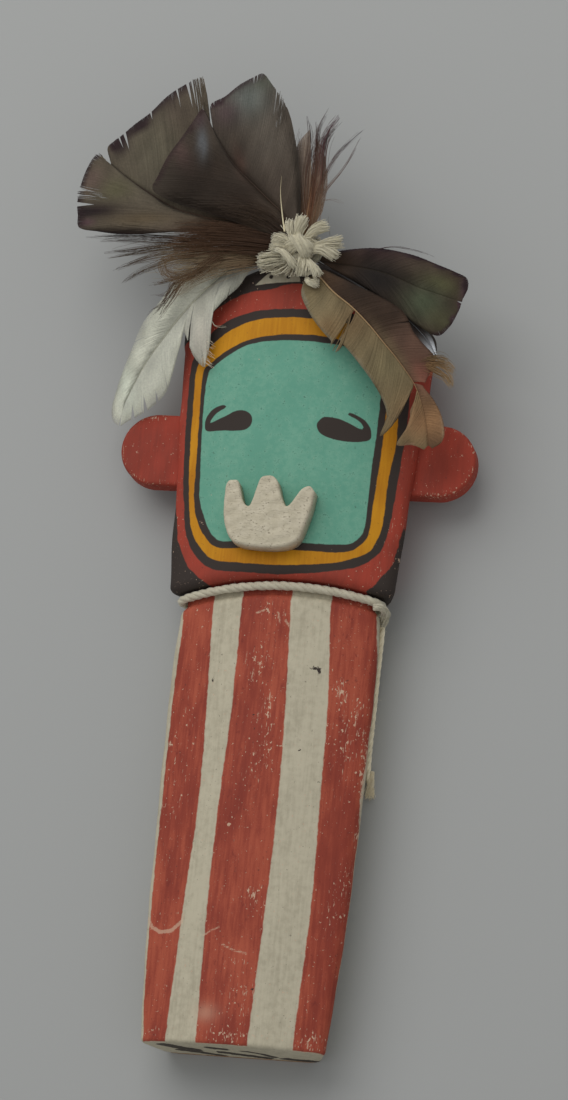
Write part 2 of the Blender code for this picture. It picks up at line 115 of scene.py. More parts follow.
# Many tubes at once. Paths has tubes, points and xyz; widths and heights are half sizes
# across and over each path. Up tells which way "over" is.
def tubes(paths, widths, heights, sides=4, up=(0, 0, 1), closed=False):
    if closed:
        along = unit(np.roll(paths, -1, axis=1) - np.roll(paths, 1, axis=1))
    else:
        along = unit(np.gradient(paths, axis=1))
    side, over = across(along, up)
    widths = np.broadcast_to(widths, paths.shape[:2])[..., None]
    heights = np.broadcast_to(heights, paths.shape[:2])[..., None]
    turns = np.arange(sides) * 2 * math.pi / sides
    corners = np.stack([paths + side * widths * math.cos(a) + over * heights * math.sin(a)
                        for a in turns], axis=2)
    index = np.arange(corners[..., 0].size).reshape(corners.shape[:3])
    first = index if closed else index[:, :-1]
    second = np.roll(index, -1, axis=1) if closed else index[:, 1:]
    walls = [np.stack([first, np.roll(first, -1, axis=2), np.roll(second, -1, axis=2),
                       second], axis=-1).reshape(-1, 4)]
    if not closed:
        caps = [[0, k, k + 1, k + 2] for k in range(1, sides - 2, 2)]
        walls += [index[:, 0, cap[::-1]] for cap in caps] + [index[:, -1, cap] for cap in caps]
    return corners.reshape(-1, 3), np.vstack(walls)


# Joins lots of (points, faces, more) into one.
def joined(parts):
    starts = np.cumsum([0] + [len(part[0]) for part in parts])
    return np.vstack([part[0] for part in parts]), \
        np.vstack([part[1] + start for part, start in zip(parts, starts)])


# One piece of four-cornered faces that stands for a node. Marks are values kept at its
# points, and colours are three to a point.
def meshPiece(name, node, slot, points, faces, material, marks=None, colours=None):
    mesh = bpy.data.meshes.new(name)
    mesh.vertices.add(len(points))
    mesh.vertices.foreach_set("co", (np.asarray(points) * mm).astype(np.float32).ravel())
    mesh.loops.add(faces.size)
    mesh.loops.foreach_set("vertex_index", faces.astype(np.int32).ravel())
    mesh.polygons.add(len(faces))
    mesh.polygons.foreach_set("loop_start", np.arange(0, faces.size, 4, dtype=np.int32))
    mesh.update(calc_edges=True)
    for key, values in (marks or {}).items():
        layer = mesh.attributes.new(key, "FLOAT", "POINT")
        layer.data.foreach_set("value", np.asarray(values, dtype=np.float32).ravel())
    if colours is None:
        mesh.shade_smooth()
    else:
        layer = mesh.attributes.new("tint", "FLOAT_COLOR", "POINT")
        opaque = np.column_stack([colours, np.ones(len(colours))])
        layer.data.foreach_set("color", opaque.astype(np.float32).ravel())
    mesh.materials.append(material)
    item = bpy.data.objects.new(name, mesh)
    bpy.context.scene.collection.objects.link(item)
    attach(item, "root")
    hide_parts(node)
    print(name, "has", 2 * len(faces), "triangles")
    return item


def smoothStep(low, high, value):
    share = np.clip((value - low) / (high - low), 0, 1)
    return share * share * (3 - 2 * share)


# Soft bumps of about one unit in height, made of a few crossing waves of the given size.
def softNoise(x, y, size, seed):
    random = np.random.default_rng(seed)
    total = 0
    for wave in range(5):
        angle = random.uniform(0, 2 * math.pi)
        pace = 2 * math.pi / size * random.uniform(0.6, 1.7)
        shift = random.uniform(0, 2 * math.pi)
        total = total + np.sin(pace * (x * math.cos(angle) + y * math.sin(angle)) + shift)
    return total / 2.6


# Shader nodes, written as sums

class Wire:
    def __init__(self, tree, socket):
        self.tree = tree
        self.socket = socket

    # Any node, from its type, its settings and its sockets by name or number.
    def node(self, kind, sockets=None, out=0, **settings):
        made = self.tree.nodes.new(kind)
        for key, value in settings.items():
            setattr(made, key, value)
        for key, value in (sockets or {}).items():
            if isinstance(value, Wire):
                self.tree.links.new(value.socket, made.inputs[key])
            else:
                made.inputs[key].default_value = value
        return Wire(self.tree, made.outputs[out])

    def sum(self, operation, first, second=0.0):
        return self.node("ShaderNodeMath", {0: first, 1: second}, operation=operation)

    def __add__(self, other):
        return self.sum("ADD", self, other)

    def __sub__(self, other):
        return self.sum("SUBTRACT", self, other)

    def __mul__(self, other):
        return self.sum("MULTIPLY", self, other)

    def __truediv__(self, other):
        return self.sum("DIVIDE", self, other)

    def __rsub__(self, other):
        return self.sum("SUBTRACT", other, self)

    __radd__ = __add__
    __rmul__ = __mul__

    def atMost(self, other):
        return self.sum("MINIMUM", self, other)

    def atLeast(self, other):
        return self.sum("MAXIMUM", self, other)

    # How far the value is from zero.
    def far(self):
        return self.sum("ABSOLUTE", self)

    # 0 below low, 1 above high and smooth between.
    def step(self, low, high):
        return self.node("ShaderNodeMapRange", {0: self, 1: low, 2: high},
                         interpolation_type="SMOOTHSTEP")

    # 1 inside a mark's edge, with a soft rim of the given half width.
    def inside(self, soft):
        return self.step(-soft, soft)

    # Colour a where the mask is 0, and b where it is 1.
    def blend(self, a, b):
        made = self.tree.nodes.new("ShaderNodeMix")
        made.data_type = "RGBA"
        sockets = [s for s in made.inputs if s.enabled]
        for socket, value in zip(sockets, (self, a, b)):
            if isinstance(value, Wire):
                self.tree.links.new(value.socket, socket)
            else:
                socket.default_value = value
        return Wire(self.tree, next(s for s in made.outputs if s.enabled))

    # Noise of the given size in mm, from 0 to 1, stretched by stretch along x, y, z.
    def noise(self, size, detail=3.0, rough=0.55, stretch=(1, 1, 1), shift=(0, 0, 0)):
        scaled = self.node("ShaderNodeMapping", {
            "Vector": self, "Location": shift,
            "Scale": tuple(1 / (size * mm * part) for part in stretch)})
        return self.node("ShaderNodeTexNoise", {
            "Vector": scaled, "Scale": 1.0, "Detail": detail, "Roughness": rough})


# A colour as the eye sees it in print, from 0 to 255, made ready for the shader. Gain is
# how much brighter the surface is than it looks in the photo's light.
def seen(red, green, blue, gain=1.5):
    share = np.array((red, green, blue)) / 255
    linear = np.where(share < 0.04045, share / 12.92, ((share + 0.055) / 1.055) ** 2.4)
    return tuple(float(part) * gain for part in linear) + (1.0,)


def newMaterial(name, roughness, specular=0.35):
    material = bpy.data.materials.new(name)
    material.use_nodes = True
    shader = material.node_tree.nodes["Principled BSDF"]
    shader.inputs["Roughness"].default_value = roughness
    shader.inputs["Specular IOR Level"].default_value = specular
    start = Wire(material.node_tree, None)
    place = start.node("ShaderNodeTexCoord", out="Object")
    return material, shader, start, place


def connect(shader, wires, start, height=None, lift=0.1, strength=1.0):
    for key, wire in wires.items():
        start.tree.links.new(wire.socket, shader.inputs[key])
    if height is not None:
        bump = start.node("ShaderNodeBump", {"Height": height, "Distance": lift * mm,
                                             "Strength": strength})
        start.tree.links.new(bump.socket, shader.inputs["Normal"])


# The wood's own form, from the same sizes as the solid.

wood = dict(
    footY=-100.0, topY=100.0, bodyThick=19.0, headThick=22.0, frontRadius=66.0,
    sideTaper=4.1, backRound=3.6, frontRound=3.2, topRound=5.0, neckY=12.0, grooveHalf=1.7,
    shoulderRound=2.4, headRound=2.6, footRound=1.0, neckHalf=24.8, neckCrest=17.9,
    neckBack=2.59, headShoulder=77.0, topPower=1.68, wavy=0.16, waveSize=21.0, coreZ=9.0,
    crestDrop=0.7, backRise=0.3, underDrop=1.1, topBack=0.15, crownWider=2.05, crownStart=0.25,
    seamHalf=0.3, footCentre=-0.5, lean=1.0,
    bodyHalf=(23.6, 24.8, 25.6, 26.1, 26.4, 26.5, 25.9),
    headHalf=(29.0, 29.9, 30.5, 31.6, 32.4, 32.9),
    columns=(20, 6, 12, 7, 58), rowStep=0.5, footRings=30,
)
shoulderY = wood["neckY"] - wood["grooveHalf"]
headBottomY = wood["neckY"] + wood["grooveHalf"]
domeHigh = wood["topY"] - wood["headShoulder"]


# Half widths at evenly spread places from first to last, read at y.
def spreadWidth(widths, first, last, y):
    knots = np.column_stack([widths, widths])
    return smoothCurve(knots, (np.asarray(y) - first) / (last - first)
                       * (len(widths) - 1))[:, 0]


# The doll's middle leans a little to the right towards the head.
def centreX(y):
    share = (np.asarray(y) - wood["footY"]) / (wood["topY"] - wood["footY"])
    return wood["footCentre"] + wood["lean"] * share


# How far a rounded edge lies below its face, at a distance in from the edge.
def quarterDrop(distance, radius):
    inside = np.clip(distance, 0, radius)
    return radius - np.sqrt(radius**2 - (radius - inside) ** 2)


# The neck's arch is high at the middle and a little tilted, and fades out over its reach.
arch = dict(high=3.1, tilt=0.03, half=26.0, reach=34.0, least=-0.2)


def neckArch(x, y):
    away = np.minimum(np.abs(y - wood["neckY"]) / arch["reach"], 1)
    fade = 0.5 + 0.5 * np.cos(math.pi * away)
    rise = arch["high"] * np.maximum(1 - (x / arch["half"]) ** 2, arch["least"])
    return fade * (arch["tilt"] * x + rise)


# The front is a very flat arch across the doll.
def frontHeight(x, crest):
    return crest - np.square(x) / (2 * wood["frontRadius"])


# Half width, crest and back height of the wood at each y, before the arch.
def woodProfile(y):
    share = np.minimum(y, shoulderY)
    foot = quarterDrop(y - wood["footY"], wood["footRound"])
    shoulder = quarterDrop(shoulderY - y, wood["shoulderRound"])
    # The body's upper part is nowhere thinner than the neck.
    less = 9 * (y < 0)
    body = (np.maximum(spreadWidth(wood["bodyHalf"], wood["footY"], shoulderY, share) - foot
                       - shoulder, wood["neckHalf"] - less),
            np.maximum(wood["bodyThick"] - foot - wood["crestDrop"] * shoulder,
                       wood["neckCrest"] - less),
            wood["backRise"] * shoulder)
    neck = (wood["neckHalf"], wood["neckCrest"], wood["neckBack"])
    under = quarterDrop(y - headBottomY, wood["headRound"])
    top = quarterDrop(wood["topY"] - y, wood["topRound"])
    wide = spreadWidth(wood["headHalf"], headBottomY, wood["headShoulder"],
                       np.clip(y, headBottomY, wood["headShoulder"]))
    share = np.clip((y - wood["headShoulder"]) / domeHigh, 0, 1)
    dome = (1 - share ** wood["topPower"]) ** (1 / wood["topPower"])
    wider = wood["crownWider"] * np.clip(share / wood["crownStart"], 0, 1)
    head = (wide * dome + wider - wood["underDrop"] * under,
            wood["headThick"] - wood["crestDrop"] * under - top,
            wood["backRise"] * under + wood["topBack"] * top)
    inNeck = (y > shoulderY) & (y < headBottomY)
    return tuple(np.select([y >= headBottomY, inNeck], [last, middle], first)
                 for first, middle, last in zip(body, neck, head))


# Rows of points along a round corner, and along a straight stretch.
def bezier(before, corner, after, count):
    t = np.linspace(0, 1, count, endpoint=False)[None, :, None]
    before, corner, after = before[:, None], corner[:, None], after[:, None]
    return (1 - t) ** 2 * before + 2 * t * (1 - t) * corner + t**2 * after


def straight(before, after, count):
    t = np.linspace(0, 1, count, endpoint=False)[None, :, None]
    return before[:, None] * (1 - t) + after[:, None] * t


# The right half of every section at once: rows, points and (x, z), from the middle of
# the back round the side to the crest.
def halfSections(half, crest, back):
    backCount, lowCount, sideCount, highCount, frontCount = wood["columns"]
    inner = half - wood["sideTaper"]
    backRound = np.minimum(wood["backRound"], 0.3 * inner)
    frontRound = np.minimum(wood["frontRound"], 0.3 * half)
    lowCorner = np.column_stack([inner, back])
    ridge = np.column_stack([half, frontHeight(half, crest)])
    slope = unit(ridge - lowCorner)
    lowStart = np.column_stack([inner - backRound, back])
    lowEnd = lowCorner + slope * backRound[:, None]
    highStart = ridge - slope * frontRound[:, None]
    frontX = half - frontRound
    highEnd = np.column_stack([frontX, frontHeight(frontX, crest)])
    middle = np.column_stack([wood["seamHalf"] + 0 * back, back])
    shares = np.linspace(1, wood["seamHalf"] / frontX, frontCount).T
    fronts = frontX[:, None] * shares
    arc = np.stack([fronts, frontHeight(fronts, crest[:, None])], axis=-1)
    return np.concatenate([straight(middle, lowStart, backCount),
                           bezier(lowStart, lowCorner, lowEnd, lowCount),
                           straight(lowEnd, highStart, sideCount),
                           bezier(highStart, ridge, highEnd, highCount), arc], axis=1)


# Closes the ends of a loft with strips from its right half to its left half.
def endStrips(ring):
    half = len(ring) // 2
    k = np.arange(half - 1)
    return np.column_stack([ring[k], ring[k + 1], ring[len(ring) - 2 - k],
                            ring[len(ring) - 1 - k]])


def woodRows():
    foot = wood["footY"] + np.array([0, 0.04, 0.15, 0.35, 0.65, 1.0])
    body = np.arange(foot[-1] + wood["rowStep"], shoulderY - 2.6, wood["rowStep"])
    shoulder = np.linspace(shoulderY - 2.4, shoulderY - 0.02, 10)
    neck = np.linspace(shoulderY + 0.02, headBottomY - 0.02, 5)
    under = headBottomY + np.array([0, 0.05, 0.15, 0.35, 0.7, 1.1, 1.6, 2.1, 2.6])
    head = np.arange(under[-1] + wood["rowStep"], wood["headShoulder"], wood["rowStep"])
    angles = np.radians(np.linspace(0.5, 84, 60))
    dome = wood["headShoulder"] + domeHigh * np.sin(angles) ** (2 / wood["topPower"])
    return np.concatenate([foot, body, shoulder, neck, under, head, dome])


def woodLoft():
    y = woodRows()
    right = halfSections(*woodProfile(y))
    left = right[:, ::-1] * (-1, 1)
    ring = np.concatenate([right, left], axis=1)
    x, z = ring[..., 0], ring[..., 1]
    rows = np.broadcast_to(y[:, None], x.shape)
    shownX = x + centreX(rows)
    shownY = rows + neckArch(x, rows)
    outward = unit(np.stack([x, z - wood["coreZ"]], axis=-1))
    swell = wood["wavy"] * softNoise(shownX + 0.6 * z, shownY, wood["waveSize"], 5) \
        * smoothStep(0, 6, z) * smoothStep(0, 4, np.abs(rows - wood["neckY"]) - 2)
    shownX = shownX + outward[..., 0] * swell
    z = z + outward[..., 1] * swell
    points = np.stack([shownX, shownY, z], axis=-1)
    rim, middle = points[0], points[0].mean(axis=0)
    shares = np.linspace(0.01, 1, wood["footRings"], endpoint=False)[:, None, None]
    points = np.concatenate([middle + (rim - middle) * shares, points])
    count = x.shape[1]
    index = np.arange(points.shape[0] * count).reshape(-1, count)
    low, high = index[:-1], index[1:]
    walls = np.stack([low, np.roll(low, -1, axis=1), np.roll(high, -1, axis=1), high],
                     axis=-1).reshape(-1, 4)
    faces = np.vstack([walls[:, ::-1], endStrips(index[0]), endStrips(index[-1])[:, ::-1]])
    return points.reshape(-1, 3), faces


# A slab between two outlines that both run along x. Top and bottom give its heights at
# (x, y, distance in from the rim).
def slab(x, upper, lower, rows, top, bottom):
    share = 0.5 - 0.5 * np.cos(np.linspace(0, math.pi, rows))
    y = lower[None] + (upper - lower)[None] * share[:, None]
    grid = np.stack([np.broadcast_to(x, y.shape), y], axis=-1)
    rim = np.vstack([np.column_stack([x, upper]), np.column_stack([x, lower])[::-1]])
    inward = np.abs(signedDistance(grid[..., 0].ravel(), grid[..., 1].ravel(), rim))
    inward = inward.reshape(y.shape)
    inward[[0, -1]] = 0
    inward[:, [0, -1]] = 0
    over = np.dstack([grid, top(grid[..., 0], y, inward)]).reshape(-1, 3)
    under = np.dstack([grid, bottom(grid[..., 0], y, inward)]).reshape(-1, 3)
    index = np.arange(y.size).reshape(y.shape)
    flat = np.stack([index[:-1, :-1], index[:-1, 1:], index[1:, 1:], index[1:, :-1]],
                    axis=-1).reshape(-1, 4)
    edge = np.concatenate([index[0], index[1:, -1], index[-1, -2::-1], index[-2:0:-1, 0]])
    after = np.roll(edge, -1)
    rimFaces = np.column_stack([edge + y.size, after + y.size, after, edge])
    return np.vstack([over, under]), np.vstack([flat, flat[:, ::-1] + y.size, rimFaces])


# Distance from a line of points.
def lineDistance(x, y, line):
    best = np.full(x.shape, 1e9)
    for (ax, ay), (bx, by) in zip(line[:-1], line[1:]):
        dx, dy = bx - ax, by - ay
        share = np.clip(((x - ax) * dx + (y - ay) * dy) / max(dx * dx + dy * dy, 1e-12), 0, 1)
        best = np.minimum(best, (x - ax - share * dx) ** 2 + (y - ay - share * dy) ** 2)
    return np.sqrt(best)


# Distance in from a closed outline: positive inside and negative outside.
def signedDistance(x, y, outline):
    closed = np.vstack([outline, outline[:1]])
    inside = np.zeros(x.shape, dtype=bool)
    for (ax, ay), (bx, by) in zip(closed[:-1], closed[1:]):
        if ay != by:
            inside ^= ((ay > y) != (by > y)) & (x < ax + (y - ay) * (bx - ax) / (by - ay))
    return np.where(inside, 1, -1) * lineDistance(x, y, closed)


ears = dict(rootX=27.0, centreX=36.3, centreY=51.0, radius=9.3, backZ=6.5, thick=6.0,
            edge=0.9, arcPoints=40, flatPoints=13, rows=26, quarter=0.985, wavy=0.1,
            waveSize=6)


def earSlab(side):
    angles = np.linspace(0, math.pi / 2 * ears["quarter"], ears["arcPoints"])
    arcX = ears["centreX"] + ears["radius"] * np.sin(angles)
    arcY = ears["radius"] * np.cos(angles)
    x = np.r_[np.linspace(ears["rootX"], arcX[0], ears["flatPoints"] + 1)[:-1], arcX]
    reach = np.r_[np.full(ears["flatPoints"], ears["radius"]), arcY]
    middle = ears["backZ"] + ears["thick"] / 2

    def height(sign):
        return lambda gx, gy, inward: middle + sign * (
            ears["thick"] / 2 - quarterDrop(inward, ears["edge"])
            + ears["wavy"] * softNoise(gx, gy, ears["waveSize"], 3))
    points, faces = slab(x, ears["centreY"] + reach, ears["centreY"] - reach, ears["rows"],
                         height(1), height(-1))
    if side < 0:
        points = points * (-1, 1, 1)
        faces = faces[:, ::-1]
    return points, faces


# The painted pattern: outlines on the front, in mm.

pattern = dict(
    teal=((-23.7, 70), (-24.1, 64), (-23.5, 51), (-23, 45), (-22.6, 38.5), (-21.9, 35.4), (-20.5, 32),
        (-19, 29), (-17.4, 26.9), (-14.8, 25.6), (-8, 25.7), (0, 25.7), (8, 25.7), (16.3, 26.3),
        (19.1, 27.9), (20.5, 31), (20.7, 37), (20.8, 47), (21.2, 56), (21.3, 64), (20.7, 71),
        (18.2, 75.6), (10, 77.6), (0, 78.2), (-6, 78.1), (-11.7, 77.4), (-15.6, 76.2), (-20.2, 73.4),
        (-22.9, 71.2)),
    inner=((-25.3, 70), (-24.9, 57.6), (-24.3, 45), (-24.1, 38.6), (-23.6, 35.4), (-22.8, 32.3),
        (-21.2, 29), (-18.9, 26), (-15.7, 23.9), (-8, 23.8), (0, 23.6), (8, 23.8), (14, 24), (18.1, 25),
        (21, 28), (21.8, 31), (22, 37), (22.4, 44), (22.8, 53), (22.9, 62.5), (22.4, 72), (19.6, 77),
        (7.5, 79.4), (0, 79.8), (-6, 79.6), (-11.9, 78.7), (-15.8, 77.5), (-20.4, 75), (-23.6, 72.4)),
    yellow=((-27.3, 70), (-27, 61), (-26.6, 51), (-25.9, 42), (-25.1, 35.5), (-24.5, 32), (-23.7, 29),
        (-22.2, 26), (-19.4, 22.8), (-16.2, 20.7), (-8, 19.9), (0, 19.7), (5, 20), (11, 20.8),
        (17, 22.3), (21.9, 24.9), (23.7, 28.3), (24.6, 31.5), (24.8, 34.6), (24.9, 41), (25.3, 47),
        (26, 53.5), (25.9, 60), (25.6, 70), (24.4, 77), (20.6, 81.6), (12, 83.4), (0, 84.2), (-6, 84.2),
        (-12.4, 83.5), (-16.3, 82.3), (-20.2, 80.3), (-24.2, 76.9), (-26.4, 73.6)),
    outer=((-29, 70.6), (-28.6, 58), (-28, 48), (-27.2, 39), (-26.5, 35.6), (-26.1, 32.4),
        (-25.5, 29.3), (-24.3, 26), (-22.5, 23), (-19.2, 19.7), (-15, 18), (-8, 17.6), (0, 17.4),
        (5, 17.8), (11, 18.6), (17, 20), (21.3, 21.8), (24.7, 25.3), (25.8, 28.6), (26.3, 31.7),
        (26.9, 38), (27.3, 44), (27.7, 50.6), (28.2, 60), (28, 70), (26.8, 78), (22.6, 83.6), (13, 86),
        (0, 86.5), (-6, 86.4), (-12.7, 85.9), (-18.7, 84.3), (-22.6, 82), (-26, 78.8), (-28.2, 75)),
    red=((-38, 76), (-60, 74), (-60, 37.6), (-38, 37.4), (-30.4, 37.4), (-28.3, 32.6), (-27.7, 29.4),
        (-27.1, 26.2), (-25.6, 23), (-23.8, 19.8), (-20.4, 16.6), (-17, 14.6), (-8, 12.4), (0, 12),
        (8, 12.6), (18, 14), (23.2, 15.9), (25.7, 19.3), (27.8, 22.7), (28.4, 26), (28.9, 29),
        (29.7, 33), (31, 37), (38, 39.4), (60, 39.4), (60, 74), (38, 76), (29.6, 79.8), (26, 83.8),
        (18, 88.8), (8, 92), (-1.6, 93.2), (-5.4, 92.8), (-9.3, 91.6), (-13.2, 91.3), (-17.2, 90.2),
        (-22.6, 87.6), (-27, 83.4), (-30, 79.6)),
    leftEye=((-18.9, 61.3), (-17.9, 61), (-17.9, 60.5), (-19.5, 59.6), (-20.9, 58.4), (-21.7, 56.8),
        (-20, 57.3), (-17.5, 58.4), (-15.3, 59.5), (-13, 59.7), (-11.1, 58.8), (-10.3, 57.3),
        (-10.6, 55.7), (-12.1, 54.6), (-15.1, 54.4), (-18.9, 54.6), (-21.6, 54.5), (-22.9, 55.2),
        (-23.1, 57.1), (-22.5, 58.9), (-21, 60.5)),
    rightEye=((6.4, 56.4), (7.6, 58.3), (9.3, 58.6), (12, 58.3), (14.7, 57.3), (17.2, 56.3),
        (17.9, 56.7), (17.2, 57.8), (15.9, 58.7), (14, 59.5), (13.8, 59.9), (14.1, 60.3), (16, 59.7),
        (17.9, 58.7), (19.4, 57.1), (19.9, 55.4), (19.7, 53.8), (17.7, 53), (13.6, 52.7), (9.8, 53.3),
        (7.4, 54.3)),
    crown=((-13.5, 92.8), (-7.5, 93.4), (-1.4, 93.7), (-2.3, 96.2), (-6, 96.3), (-10.1, 96)),
    crownDots=((-9.3, 95), (-4.7, 95)), crownDot=0.6, redAbove=12.2, redFromFoot=99.8)

# The body's stripes: where each edge runs, as (x, y) from the neck to the foot.
stripes = dict(
    redLeft=((-25.2, 14), (-24, 4), (-24.4, -9), (-24.4, -40), (-24.2, -64), (-23.4, -89), (-22.6, -98),
        (-22.4, -104)),
    firstLeft=((-16.2, 16), (-16.1, 8), (-15, -16), (-14.4, -40), (-15.4, -65), (-16.4, -97),
        (-16.5, -104)),
    firstRight=((-8.7, 16), (-8.6, 8), (-8.4, -16), (-9.1, -40), (-9.3, -65), (-8.6, -97),
        (-8.5, -104)),
    secondLeft=((3.8, 16), (4, 9), (5.2, -16), (5.7, -40), (5.4, -64), (4.4, -96), (4.2, -104)),
    secondRight=((13.6, 16), (13.8, 9), (15.4, -15), (15.8, -39), (16.2, -63), (15.3, -95),
        (15.2, -104)),
    redRight=((24.4, 16), (24.8, 9), (25.8, -1), (26.2, -13), (25.5, -26), (25.1, -38), (25.5, -50),
        (25.2, -62), (24.9, -73), (24.1, -85), (23.8, -94), (23.6, -104)))


# How far x lies to the right of one of the stripes' edges.
def rightOf(name, x, y):
    edge = evenCurve(stripes[name], 60)[::-1]
    return x - np.interp(y, edge[:, 1], edge[:, 0])


# Worn places on the paint: flecked ones as (x, y, half width, half length, strength),
# chips, thin paint and dark spots the same way, and scratches as lines with a half width.
# The ears' rim is worn too. Flecks start above bareFrom, and the rest above frontFrom.
wear = dict(frontFrom=8, bareFrom=7.5, rimInset=0.4, rimWide=0.9, rimWear=1.7, rimFrom=33.5,
    bare=((-1.2, -3, 3.2, 9, 0.9), (0.8, -15.5, 1.6, 3.4, 2.4), (1.4, -26, 3.2, 8, 1.6),
        (-2.4, -47, 4.4, 12, 0.7), (2.4, 6.4, 2.4, 2.4, 1.3), (-3.4, -6, 2.2, 5, 1.5),
        (-4.6, -25, 1.6, 2.4, 1.2), (-2, -31, 3.4, 3.4, 0.8), (18.2, -10.4, 1.8, 2.6, 2.6),
        (22.6, -14, 2.6, 5, 0.9), (26, -31, 1.6, 10, 3.4), (25.6, -46, 1.2, 4, 2.2),
        (20.5, -22, 4.6, 9, 1.2), (-21, -30, 4, 26, 0.6), (24, -58, 2.6, 5, 1.2),
        (22, -66, 3.4, 6, 1.1), (2.2, -62.8, 1.8, 1.8, 2.6), (6, -66, 2.4, 2.4, 1.4),
        (-1.4, 9.6, 1.2, 2.6, 1.2), (-3, 8.4, 1.6, 1, 1.6), (1.6, -62, 3.4, 5, 0.8),
        (-23.8, -25.8, 0.8, 1.2, 1.6), (-23.4, -43, 2.2, 5, 0.8), (-21, -97.6, 4.4, 2, 1.5),
        (0, -97.6, 9, 2.4, 2), (2, -88, 5, 6, 1.2), (0, -80, 7, 8, 0.7), (-17, -40, 9, 40, 0.35),
        (20, -40, 7, 40, 0.4), (19.6, -97.4, 5, 2.6, 2.2), (18, -86, 5, 5, 0.7),
        (19.6, 12.2, 4, 1.6, 1.2), (27.4, 30, 3.4, 6, 1.1), (10, 15.6, 13, 1.8, 0.9),
        (24.6, 20.8, 3, 3, 0.9), (36, 42.4, 6, 1.8, 1), (-36, 60, 7, 1.8, 0.8), (-22, 89, 7, 3, 0.8),
        (-12, 90.6, 7, 2.4, 0.5), (-30, 50, 1.6, 30, 0.6), (30, 56, 1.6, 16, 0.7)),
    chips=((-20.7, 30.7, 0.9, 0.7, 1), (29.3, 24.4, 0.7, 0.6, 1), (-5.8, -45.6, 0.6, 0.5, 1),
        (-23.6, -25.6, 0.5, 0.5, 1), (26.2, -27.5, 0.6, 1.2, 0.9), (26, -35.5, 0.6, 1.6, 0.9),
        (25.3, -45.2, 0.5, 1, 0.9), (-24.2, 6.4, 0.4, 0.4, 0.9), (-17.4, 8.4, 0.4, 0.4, 0.8)),
    thin=((-7, -92.4, 3, 2.2, 0.85),),
    scratches=((((-24.7, -69.4), (-23.4, -71.6), (-20.9, -72.9), (-18, -72.6), (-15.4, -70.2)), 0.35),
        (((-15.6, -70.4), (-15, -68.4)), 0.1), (((-9.4, -73.4), (-7.8, -72.4), (-5.6, -71.2)), 0.1),
        (((-4.4, -75.4), (-1.8, -76.6), (1.8, -77.4)), 0.12), (((-4.6, 8), (-2.6, 8.8)), 0.15),
        (((0.9, 8.4), (1.6, 6)), 0.15), (((3, 6.4), (4.2, 4.9)), 0.2), (((-6, -2), (-6.1, -5)), 0.03),
        (((-3.8, -6), (-4, -9)), 0.04), (((17.6, -9), (17.7, -12)), 0.04),
        (((-1.4, -17), (-1.5, -20)), 0.04)),
    dark=((11.4, -5.1, 1.3, 0.5, 1), (12.6, -5.9, 0.6, 0.9, 0.9), (-14.1, -9.3, 0.5, 0.8, 0.8),
        (9.8, -26, 0.45, 0.45, 1), (4.2, -86, 0.45, 0.45, 1), (-2.4, -1, 0.6, 0.7, 0.5),
        (-2.6, -18, 0.7, 0.7, 0.6), (-2, -21.4, 0.5, 0.6, 0.6), (17.6, -7, 1, 0.5, 0.7),
        (19.4, -7.4, 0.5, 0.6, 0.7)))


def softSpots(x, y, spots):
    total = np.zeros(x.shape)
    for spotX, spotY, wide, long, strength in spots:
        total += strength * np.exp(-((x - spotX) / wide) ** 2 - ((y - spotY) / long) ** 2)
    return total


# Dark brush strokes on the foot, as lines of (x, z) with a half width.
footStrokes = ((((-17, 12.6), (-14.5, 10), (-11, 8.2)), 2.3),
    (((-14.6, 6.4), (-9, 4.4), (-5.4, 1.8)), 1.5), (((-6.4, 13), (-3, 12.2)), 1.5),
    (((-4, 7), (1, 5.2), (6, 3)), 1.7), (((2, 11), (6, 8.8), (8.2, 5)), 1),
    (((11.5, 3.4), (16, 2.6), (21.6, 2.2)), 1.7))


def paintMarks(points):
    x, y, z = points.T
    marks = {}
    for key in ("teal", "inner", "yellow", "outer", "red"):
        marks[key] = signedDistance(x, y, smoothLoop(pattern[key], 180))
    eyes = [signedDistance(x, y, smoothLoop(pattern[key], 90))
            for key in ("leftEye", "rightEye")]
    marks["eyes"] = np.maximum(*eyes)
    marks["crown"] = signedDistance(x, y, np.array(pattern["crown"]))
    dots = [pattern["crownDot"] - np.hypot(x - dx, y - dy) for dx, dy in pattern["crownDots"]]
    marks["crownDots"] = np.maximum(*dots)
    sides = {key: rightOf(key, x, y) for key in stripes}
    marks["stripes"] = np.maximum(np.minimum(sides["firstLeft"], -sides["firstRight"]),
                                  np.minimum(sides["secondLeft"], -sides["secondRight"]))
    marks["panel"] = np.minimum(sides["redLeft"], -sides["redRight"])
    marks["body"] = wood["neckY"] + neckArch(x, wood["neckY"]) - y
    away = np.hypot(np.abs(x) - ears["centreX"], y - ears["centreY"]) - ears["radius"]
    rim = wear["rimWear"] * np.exp(-((away + wear["rimInset"]) / wear["rimWide"]) ** 2) \
        * (np.abs(x) > wear["rimFrom"])
    marks["bare"] = np.minimum(softSpots(x, y, wear["bare"]) + rim, 3.0) * (z > wear["bareFrom"])
    for key in ("chips", "thin", "dark"):
        marks[key] = softSpots(x, y, wear[key]) * (z > wear["frontFrom"])
    farOff = 9.0
    brush = [wide - lineDistance(x, z, np.array(line)) for line, wide in footStrokes]
    marks["footStrokes"] = np.max(brush, axis=0) - farOff * (y > wood["footY"] + 0.6)
    scratch = [lineDistance(x, y, np.array(line)) - wide for line, wide in wear["scratches"]]
    marks["scratch"] = np.min(scratch, axis=0) + farOff * (z < wear["frontFrom"])
    return marks


